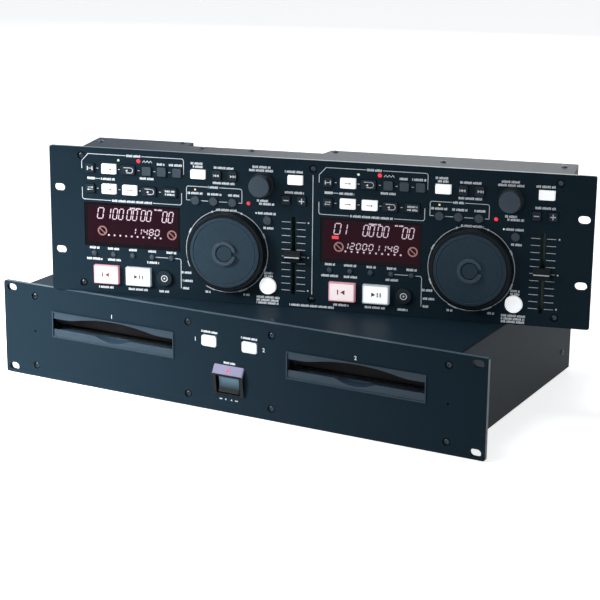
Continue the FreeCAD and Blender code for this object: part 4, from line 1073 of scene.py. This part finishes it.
def lens(bm, x, z, radius):
    """A domed lamp lens that stands on the panel."""
    turn(bm, [(0, -LENS_HEIGHT), (radius * 0.6, -LENS_HEIGHT * 0.85), (radius * 0.92, -LENS_HEIGHT * 0.4),
              (radius, 0.0), (radius, 1.0), (0, 1.0)], x, z, 24)


for number, deck_x in DECKS.items():
    bm = bmesh.new()
    deck_print(bm, deck_x)
    settle("deck_%d_ink" % number, bm, CONTROLLER, "controller_unit", [ink])
    for colour, (finish, *places) in LAMPS.items():
        bm = bmesh.new()
        for x, z, radius in places:
            lens(bm, deck_x + x, z, radius)
        settle("deck_%d_%s_lamps" % (number, colour), bm, CONTROLLER, "controller_unit",
               [finish])
bm = bmesh.new()
line(bm, (0, 13.6), (0, 119.0), 0, 0.6)
small_print(bm, -20, 20, 2.5)
settle("divider_ink", bm, CONTROLLER, "controller_unit", [ink])
print("ink and", 2 * sum(len(lamps) - 1 for lamps in LAMPS.values()), "lamps set down")

# %% [markdown]
# ## The player's front
#
# Few things are printed here: a number over each slot and beside each eject key, small captions, and
# the marks under the power switch. The eject keys are opaque white mouldings. The power button is
# glossy black plastic with a hollow face, which goes from black at its foot to a pale blue above, as a
# hollow does that mirrors a room. The room here is too plain to mirror, so the fade is in the colour.

# %% Eject keys
# Opaque white ABS of the eject keys: moulded, satin.
white_abs = textured("moulded_white_abs", "EEF1F3", "FAFBFC", 0.8, 0.38, 3)
for number in (1, 2):
    node = "eject_button_%d" % number
    bm = solid_copy(node, PLAYER)
    soften(bm, 0.35, 4)
    settle(node + "_cap", bm, PLAYER, node, [white_abs], [node])
print("eject keys dressed")

# %% Power button
SMUDGES_PER_METRE = 900.0


def shaded_plastic(name, low_z, high_z, low_colour, high_colour):
    """Glossy plastic whose colour fades with height. Finger smudges, about 1 mm wide, dull its gloss."""
    material, tree, shader = new_material(name)
    place = add(tree, "ShaderNodeTexCoord").outputs["Object"]
    height = add(tree, "ShaderNodeSeparateXYZ", {"Vector": place}).outputs["Z"]
    fade = add(tree, "ShaderNodeMapRange", {"Value": height, "From Min": low_z, "From Max": high_z})
    smudges = add(tree, "ShaderNodeTexNoise", {"Vector": place, "Scale": SMUDGES_PER_METRE})
    gloss = add(tree, "ShaderNodeMapRange", {"Value": smudges.outputs["Fac"], "To Min": 0.26, "To Max": 0.36})
    colour = add(tree, "ShaderNodeMix", {"Factor": fade.outputs["Result"], "A": linear(low_colour),
                                         "B": linear(high_colour)}, data_type="RGBA")
    tree.links.new(colour.outputs["Result"], shader.inputs["Base Color"])
    tree.links.new(gloss.outputs["Result"], shader.inputs["Roughness"])
    shader.inputs["Specular IOR Level"].default_value = 0.3
    return material


bm = solid_copy("power_button", PLAYER)
soften(bm, 0.4, 3)
low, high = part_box("power_button")
inset = 0.25 * (high.z - low.z)
button_abs = shaded_plastic("glossy_button_abs", low.z + inset, high.z - inset / 2, "0A1317", "587A8B")
settle("power_button_cap", bm, PLAYER, "power_button", [button_abs], ["power_button"])
print("the button's colour fades over %.1f mm" % ((high.z - low.z - 1.5 * inset) / MM))

# %% Numbers, captions and marks of the player
NUMERAL_HEIGHT, MARKS_Z = 3.4, 12


def numeral(text, x, z):
    """A printed figure: a text object turned into a mesh, with its back in the panel. A figure is 0.7
    of its font's size high."""
    curve = bpy.data.curves.new("numeral_" + text, "FONT")
    curve.body, curve.size, curve.extrude = text, NUMERAL_HEIGHT / 0.7, INK_THICK
    curve.align_x, curve.align_y, curve.offset = "CENTER", "CENTER", 0.12
    letter = bpy.data.objects.new("numeral_" + text, curve)
    bpy.context.scene.collection.objects.link(letter)
    bpy.context.view_layer.update()
    mesh = bpy.data.meshes.new_from_object(letter.evaluated_get(bpy.context.evaluated_depsgraph_get()))
    bpy.data.objects.remove(letter)
    mesh.transform(Matrix.Translation((x, 0, z)) @ Matrix.Rotation(math.radians(90), 4, "X"))
    return mesh


bm = bmesh.new()
for text, x, z in (("1", -122.2, 69.6), ("2", 122.2, 69.6), ("1", -34.3, 62.6), ("2", 34.3, 62.6)):
    bm.from_mesh(numeral(text, x, z))
for x0, x1, z in ((-28, -12, 71), (12, 28, 71), (-5.5, 6, 45.6)):
    small_print(bm, x0, x1, z, height=1.9)
line(bm, (-9.2, MARKS_Z), (-7.4, MARKS_Z), 0, 0.9)
prism(bm, -3.4, MARKS_Z, 0, 0.9, 4, 45)
prism(bm, 2.4, MARKS_Z, 0, 1.1, 3, -90)
line(bm, (6.4, MARKS_Z), (8.2, MARKS_Z), 0, 0.9)
settle("player_ink", bm, PLAYER, "player_unit", [ink])

# The small red diamond lies on the slope of the hood, which rises 7.4 mm over 4.2 mm of depth.
HOOD_SLOPE = math.atan2(4.2, 7.4)
bm = bmesh.new()
made = prism(bm, 0, 0, 0, 1.7, 4)
bmesh.ops.transform(bm, verts=made, matrix=Matrix.Translation((0, -2.44, 39.0))
                    @ Matrix.Rotation(-HOOD_SLOPE, 4, "X"))
settle("power_mark", bm, PLAYER, "player_unit", [red_lamp])
print("player printing placed")

# %% [markdown]
# ## Screws
#
# All screws are pan heads with a cross recess. One head is turned, the cross is cut out of it with a
# boolean, and copies of that mesh are set down wherever a screw sits, turned by different amounts as
# real ones end up.

# %% One pan head, stamped wherever a screw sits
CROSS_ARM, CROSS_HALF_WIDTH, CROSS_FLOOR = 1.55, 0.32, -0.45
head = bmesh.new()
turn(head, [(0, -1.3), (1.3, -1.22), (2.1, -0.95), (2.55, -0.5), (2.7, -0.15), (2.7, 0), (0, 0)], 0, 0, 36)
bmesh.ops.recalc_face_normals(head, faces=head.faces)
cutters = []
for half_x, half_z in ((CROSS_ARM, CROSS_HALF_WIDTH), (CROSS_HALF_WIDTH, CROSS_ARM)):
    cutters.append(bmesh.new())
    block(cutters[-1], (-half_x, half_x), (-2.0, CROSS_FLOOR), (-half_z, half_z))
head = carved(head, cutters)
PAN_HEAD = bpy.data.meshes.new("pan_head")
head.to_mesh(PAN_HEAD)
head.free()


FACINGS = {"front": (0, "X"), "top": (-90, "X"), "right": (90, "Z"), "left": (-90, "Z")}


def screw(bm, point, facing, spin_turn, size=1.0):
    """A copy of the head, seated at a point and facing front, top, left or right."""
    count = len(bm.verts)
    bm.from_mesh(PAN_HEAD)
    bm.verts.ensure_lookup_table()
    angle, axis = FACINGS[facing]
    seat = (Matrix.Translation(point) @ Matrix.Rotation(math.radians(angle), 4, axis)
            @ Matrix.Rotation(math.radians(spin_turn), 4, "Y") @ Matrix.Scale(size, 4))
    bmesh.ops.transform(bm, verts=bm.verts[count:], matrix=seat)


print("screw head has", len(PAN_HEAD.polygons), "faces")

# %% Screws of both fronts, with their shanks
SCREW_SEAT, SHANK_HALF, SHANK_END = 1.5, 1.2, 8.0
PLAYER_SCREWS = [(side * x, z) for side in (-1, 1) for x in (206.7, 42.0) for z in (10.8, 77.1)]
CONTROLLER_SCREWS = [(x, z) for x in (-211.5, 0.0, 211.5) for z in (8.4, 124.8)]


def front_screws(places, turned):
    """A bmesh of screws in a panel, each turned by one step more than the last."""
    bm = bmesh.new()
    for index, (x, z) in enumerate(places):
        screw(bm, (x, SCREW_SEAT, z), "front", turned * index)
        square(bm, x, z, SHANK_HALF, SHANK_HALF, (SCREW_SEAT - 0.2, SHANK_END), 0)
    return bm


settle("player_screws_heads", front_screws(PLAYER_SCREWS, 37), PLAYER, "player_unit",
       [black_screw], ["player_screws"])
settle("controller_screws_heads", front_screws(CONTROLLER_SCREWS, 53), CONTROLLER, "controller_unit",
       [black_screw], ["controller_screws"])
print("panel screws:", len(PLAYER_SCREWS) + len(CONTROLLER_SCREWS))

# %% Screws of the cover and of the case
COVER_TOP, COVER_SIDE, CASE_TOP = 88.0, 215.5, 128.0
CASE_SCREWS = ((-212, 52), (-138, 64), (-114, 46), (-68, 48), (5, 64), (105, 46), (209, 54))
bm = bmesh.new()
screw(bm, (39.0, 9.5, COVER_TOP), "top", 20)
for index, x in enumerate((-200, 0, 200)):
    screw(bm, (x, 262, COVER_TOP), "top", 41 * index)
for side, facing in ((-1, "left"), (1, "right")):
    for index, (y, z) in enumerate(((24, 22), (24, 72), (248, 22), (248, 72))):
        screw(bm, (side * COVER_SIDE, y, z), facing, 29 * index, 0.9)
settle("cover_screws", bm, PLAYER, "player_unit", [black_screw])
bm = bmesh.new()
for index, (x, y) in enumerate(CASE_SCREWS):
    screw(bm, (x, y, CASE_TOP), "top", 33 * index)
settle("case_screws", bm, CONTROLLER, "controller_unit", [black_screw])
print("cover and case screws placed")

# %% [markdown]
# ## The rear
#
# Behind are two plates of phono jacks, the round sockets of the remote leads and the mains inlet. A
# phono jack is a nickel barrel round an insulating ring, and the ring's colour says which signal it
# carries: white and red for left and right, orange for digital.

# %% Rear finishes
# Bright nickel plate: a warm grey metal with small sharp glints.
nickel = textured("nickel_plate", "A8A69E", "C4C2BA", 0.8, 0.24, 2, Metallic=1.0)
# The insulating rings are plain moulded plastic, satin, in the colours of their signals.
jack_white = textured("white_insulator", "D0D2D2", "E6E7E6", 0.5, 0.45, 2)
jack_red = textured("red_insulator", "86181C", "A82228", 0.5, 0.45, 2)
jack_orange = textured("orange_insulator", "B45A1C", "CF7428", 0.5, 0.45, 2)
print("finishes so far:", len(bpy.data.materials))

# %% One phono jack and one round socket
REAR = 270.0
SOCKET_HALF, PIN_CIRCLE = 7.3, 3.4
# Radius and distance behind the rear wall, from the barrel's bore round its lip to its foot.
JACK_PROFILE = [(0, 1.0), (1.75, 1.0), (1.75, 8.4), (3.1, 8.6), (3.1, 8.9), (3.9, 9.0), (4.15, 8.7),
                (4.15, 0.4), (0, 0.4)]


def phono_jack(bm, x, z, ring):
    """A nickel barrel with its insulating ring, and the nut round its foot."""
    turn(bm, [(radius, REAR + y) for radius, y in JACK_PROFILE], x, z, 40, 1)
    hoop(bm, x, z, REAR + 8.7, 1.76, 3.05, thick=0.28, finish=ring)
    hoop(bm, x, z, REAR + 0.9, 4.16, 5.6, thick=0.5, finish=1)


def round_socket(bm, x, z, wall):
    """The multi-pin socket of a remote lead."""
    square(bm, x, z, SOCKET_HALF, SOCKET_HALF, (wall - 12, wall + 0.4), 0)
    hoop(bm, x, z, wall + 1.4, 5.2, 6.6, thick=1.0, finish=1)
    prism(bm, x, z, wall + 0.45, 5.2, 32, thick=0.1, finish=0)
    for step in range(8):
        around = math.radians(22.5 + 45 * step)
        prism(bm, x + PIN_CIRCLE * math.cos(around), z + PIN_CIRCLE * math.sin(around), wall + 0.6, 0.45, 12,
              thick=0.5, finish=1)
    block(bm, (x - 0.8, x + 0.8), (wall + 0.4, wall + 1.8), (z - 4.6, z - 3.6), 0)


print("a jack stands out %.1f mm" % max(y for _, y in JACK_PROFILE))

# %% Jack plates, sockets and inlet
JACK_Z, JACK_STEP, JACK_PLATE_X, JACK_PLATE_HALF = 40.0, 16, 68, (22.8, 6.3)
BAY_WALL = 54.0
INLET_X, INLET_Z = 170, 26
PINS = ((-7, -3.6), (7, -3.6), (0, 0.4))
bm = bmesh.new()
for side in (-1, 1):
    square(bm, side * JACK_PLATE_X, JACK_Z, *JACK_PLATE_HALF, (REAR - 10, REAR + 0.4), 0)
soften(bm, 0.3, 2)
for side in (-1, 1):
    for step, ring in ((-JACK_STEP, 2), (0, 3), (JACK_STEP, 4)):
        phono_jack(bm, side * JACK_PLATE_X + step, JACK_Z, ring)
for x in (-15, 15):
    round_socket(bm, x, 33.0, REAR)
settle("rear_sockets", bm, PLAYER, "player_unit",
       [black_abs, nickel, jack_white, jack_red, jack_orange], ["player_rear_sockets"])
bm = bmesh.new()
for x in (-98, -48):
    round_socket(bm, x, 40.0, BAY_WALL)
settle("bay_sockets", bm, CONTROLLER, "controller_unit", [black_abs, nickel],
       ["controller_sockets"])
bm = solid_copy("mains_inlet", PLAYER)
soften(bm, 0.4, 2)
for dx, dz in PINS:
    square(bm, INLET_X + dx, INLET_Z + dz, 1.03, 2.03, (REAR - 13.9, REAR - 0.45), 1)
settle("mains_inlet_body", bm, PLAYER, "player_unit", [black_abs, nickel], ["mains_inlet"])
print("rear: 6 phono jacks, 4 round sockets, an inlet with", len(PINS), "pins")

# %% [markdown]
# ## Inner pieces
#
# The chassis, feet, boards, power supply, drives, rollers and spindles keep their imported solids. They
# hardly show, yet a look into a slot or at the rear wall finds them, so each gets the finish of the
# real part.

# %% Finishes of the pieces that stay as packed
# Nitrile rubber: nearly black and dull, so that it hardly mirrors anything.
rubber = textured("nitrile_rubber", "141516", "222324", 1.0, 0.72, 12)
# Solder mask on a printed board: a smooth dark green lacquer.
board_green = textured("soldermask_board", "0E3A26", "185236", 1.5, 0.36, 6)
# Varnish over windings and paper: brown, uneven, satin.
winding = textured("varnished_transformer", "4A3A2A", "6A5238", 1.0, 0.45, 10)
# Moulded acetal: a waxy off-white with a soft sheen.
hub = textured("white_acetal_hub", "B8B6AE", "D2D0C8", 0.6, 0.40, 3)
KEPT = {"player_chassis": case_coat, "player_feet": rubber, "player_main_board": board_green,
        "power_supply": winding, "controller_board": board_green}
for number in (1, 2):
    KEPT["drive_unit_%d" % number] = zinc
    KEPT["loading_roller_%d" % number] = rubber
    KEPT["disc_spindle_%d" % number] = hub
for node, finish in KEPT.items():
    for holder in frame["nodes"][node].material_slots:
        holder.material = finish
print("kept as packed:", len(KEPT), "nodes")

# %% [markdown]
# ## Floor, light and camera
#
# A white floor curves up into a white backdrop. Rays that come from the camera, a mirror or glass see
# it glow white; every other ray sees plain pale paint. So it keeps the object's shadow, and gives metal
# something to reflect, without lighting the object. A small lamp close at the left, its beam narrowed
# by a grid, gives the left-hand keys and panels their lighter blue and falls off to the right. A weak
# lamp fills from the front, one fills the rear, and a long one over the top draws the cover's sheen.
# The camera stands off to the right and a little above, with a long lens that keeps the lines calm.

# %% Studio paint
def seen_ray(tree):
    """One for a ray that comes from the camera, a mirror or glass, else nought."""
    rays = add(tree, "ShaderNodeLightPath")
    either = add(tree, "ShaderNodeMath", {0: rays.outputs["Is Camera Ray"], 1: rays.outputs["Is Glossy Ray"]},
                 operation="MAXIMUM")
    return add(tree, "ShaderNodeMath", {0: either.outputs["Value"], 1: rays.outputs["Is Transmission Ray"]},
               operation="MAXIMUM").outputs["Value"]


def studio_white():
    """Pale matt paint with a faint mottle, glowing white where the camera, a mirror or glass sees it."""
    material = bpy.data.materials.new("studio_white")
    material.use_nodes = True
    tree = material.node_tree
    tree.nodes.clear()
    place = add(tree, "ShaderNodeTexCoord").outputs["Object"]
    mottle = add(tree, "ShaderNodeTexNoise", {"Vector": place, "Scale": 4.0, "Detail": 2.0})
    tone = add(tree, "ShaderNodeMix", {"Factor": mottle.outputs["Fac"], "A": linear("F4F4F4"),
                                       "B": linear("FCFCFC")}, data_type="RGBA")
    paint = add(tree, "ShaderNodeBsdfDiffuse", {"Color": tone.outputs["Result"]})
    glow = add(tree, "ShaderNodeEmission", {"Color": (1, 1, 1, 1), "Strength": 0.80})
    both = add(tree, "ShaderNodeAddShader")
    tree.links.new(paint.outputs["BSDF"], both.inputs[0])
    tree.links.new(glow.outputs["Emission"], both.inputs[1])
    mix = add(tree, "ShaderNodeMixShader", {"Fac": seen_ray(tree)})
    tree.links.new(paint.outputs["BSDF"], mix.inputs[1])
    tree.links.new(both.outputs["Shader"], mix.inputs[2])
    output = add(tree, "ShaderNodeOutputMaterial")
    tree.links.new(mix.outputs["Shader"], output.inputs["Surface"])
    return material


print("studio paint ready")

# %% Floor and backdrop
FLOOR_HALF = 6.0
# The sweep from the floor's front edge to the backdrop's top, as (y, z) in metres.
SWEEP = ((-FLOOR_HALF, 0.0), (3.2, 0.0), (3.7, 0.07), (4.1, 0.3), (4.35, 0.7), (4.4, 1.2), (4.4, 5.0))
floor_z = cad_box[0][2]
bm = bmesh.new()
sweep = [bm.verts.new((-FLOOR_HALF, y, floor_z + z)) for y, z in SWEEP]
edges = [bm.edges.new(pair) for pair in zip(sweep, sweep[1:])]
swept = bmesh.ops.extrude_edge_only(bm, edges=edges)["geom"]
far_side = [item for item in swept if isinstance(item, bmesh.types.BMVert)]
bmesh.ops.translate(bm, vec=(2 * FLOOR_HALF, 0, 0), verts=far_side)
bmesh.ops.recalc_face_normals(bm, faces=bm.faces)
mesh = bpy.data.meshes.new("studio_floor")
bm.to_mesh(mesh)
bm.free()
mesh.polygons.foreach_set("use_smooth", [True] * len(mesh.polygons))
mesh.materials.append(studio_white())
floor = bpy.data.objects.new("studio_floor", mesh)
bpy.context.scene.collection.objects.link(floor)
print("floor at %.4f m" % floor_z)

# %% World and lamps
world = bpy.data.worlds.new("soft_room")
bpy.context.scene.world = world
world.use_nodes = True
tree = world.node_tree
tree.nodes.clear()
room = add(tree, "ShaderNodeBackground", {"Color": linear("E2EBF2"), "Strength": 0.14})
white = add(tree, "ShaderNodeBackground", {"Color": (1, 1, 1, 1), "Strength": 1.0})
mix = add(tree, "ShaderNodeMixShader", {"Fac": seen_ray(tree)})
tree.links.new(room.outputs["Background"], mix.inputs[1])
tree.links.new(white.outputs["Background"], mix.inputs[2])
output = add(tree, "ShaderNodeOutputWorld")
tree.links.new(mix.outputs["Shader"], output.inputs["Surface"])


def soft_lamp(name, place, aim, size, power, colour, spread=180):
    """An area lamp. A spread below 180 degrees is a grid before the lamp, which narrows its beam."""
    lamp = bpy.data.lights.new(name, "AREA")
    lamp.shape, lamp.size, lamp.size_y = "RECTANGLE", size[0], size[1]
    lamp.spread = math.radians(spread)
    lamp.energy, lamp.color = power, linear(colour)[:3]
    holder = bpy.data.objects.new(name, lamp)
    bpy.context.scene.collection.objects.link(holder)
    holder.location = place
    holder.rotation_euler = (Vector(aim) - Vector(place)).to_track_quat("-Z", "Y").to_euler()


soft_lamp("key_left", (-0.62, -0.45, 0.40), (-0.27, 0.0, 0.05), (0.3, 0.3), 1.5, "F2F6FA", 50)
soft_lamp("fill_front", (-0.2, -2.2, 1.0), (0, 0.05, 0.0), (1.2, 1.2), 4, "FFFFFF")
soft_lamp("rear_fill", (-0.7, 2.3, 0.9), (0, 0.2, 0.05), (1.2, 1.2), 14, "FFFFFF")
soft_lamp("top_strip", (-0.35, -0.10, 1.4), (-0.15, 0.0, 0.05), (1.2, 0.4), 12, "EEF4FA")
print("lamps:", [lamp.name for lamp in bpy.data.lights])

# %% Camera
EYE = Vector((0.7444, -1.2645, 0.4720))
AZIMUTH, ELEVATION, ROLL = math.radians(28.10), math.radians(15.72), math.radians(0.58)
camera = bpy.data.cameras.new("camera")
camera.lens, camera.sensor_width = 106.20, 36.0
camera.clip_start, camera.clip_end = 0.05, 50.0
eye = bpy.data.objects.new("camera", camera)
bpy.context.scene.collection.objects.link(eye)
forward = Vector((-math.sin(AZIMUTH) * math.cos(ELEVATION), math.cos(AZIMUTH) * math.cos(ELEVATION),
                  -math.sin(ELEVATION)))
upright = forward.to_track_quat("-Z", "Y").to_matrix().to_4x4()
eye.matrix_world = Matrix.Translation(EYE) @ upright @ Matrix.Rotation(ROLL, 4, "Z")
bpy.context.scene.camera = eye
bpy.context.scene.view_settings.view_transform = "Standard"
print("camera looks down by %.1f degrees" % math.degrees(ELEVATION))
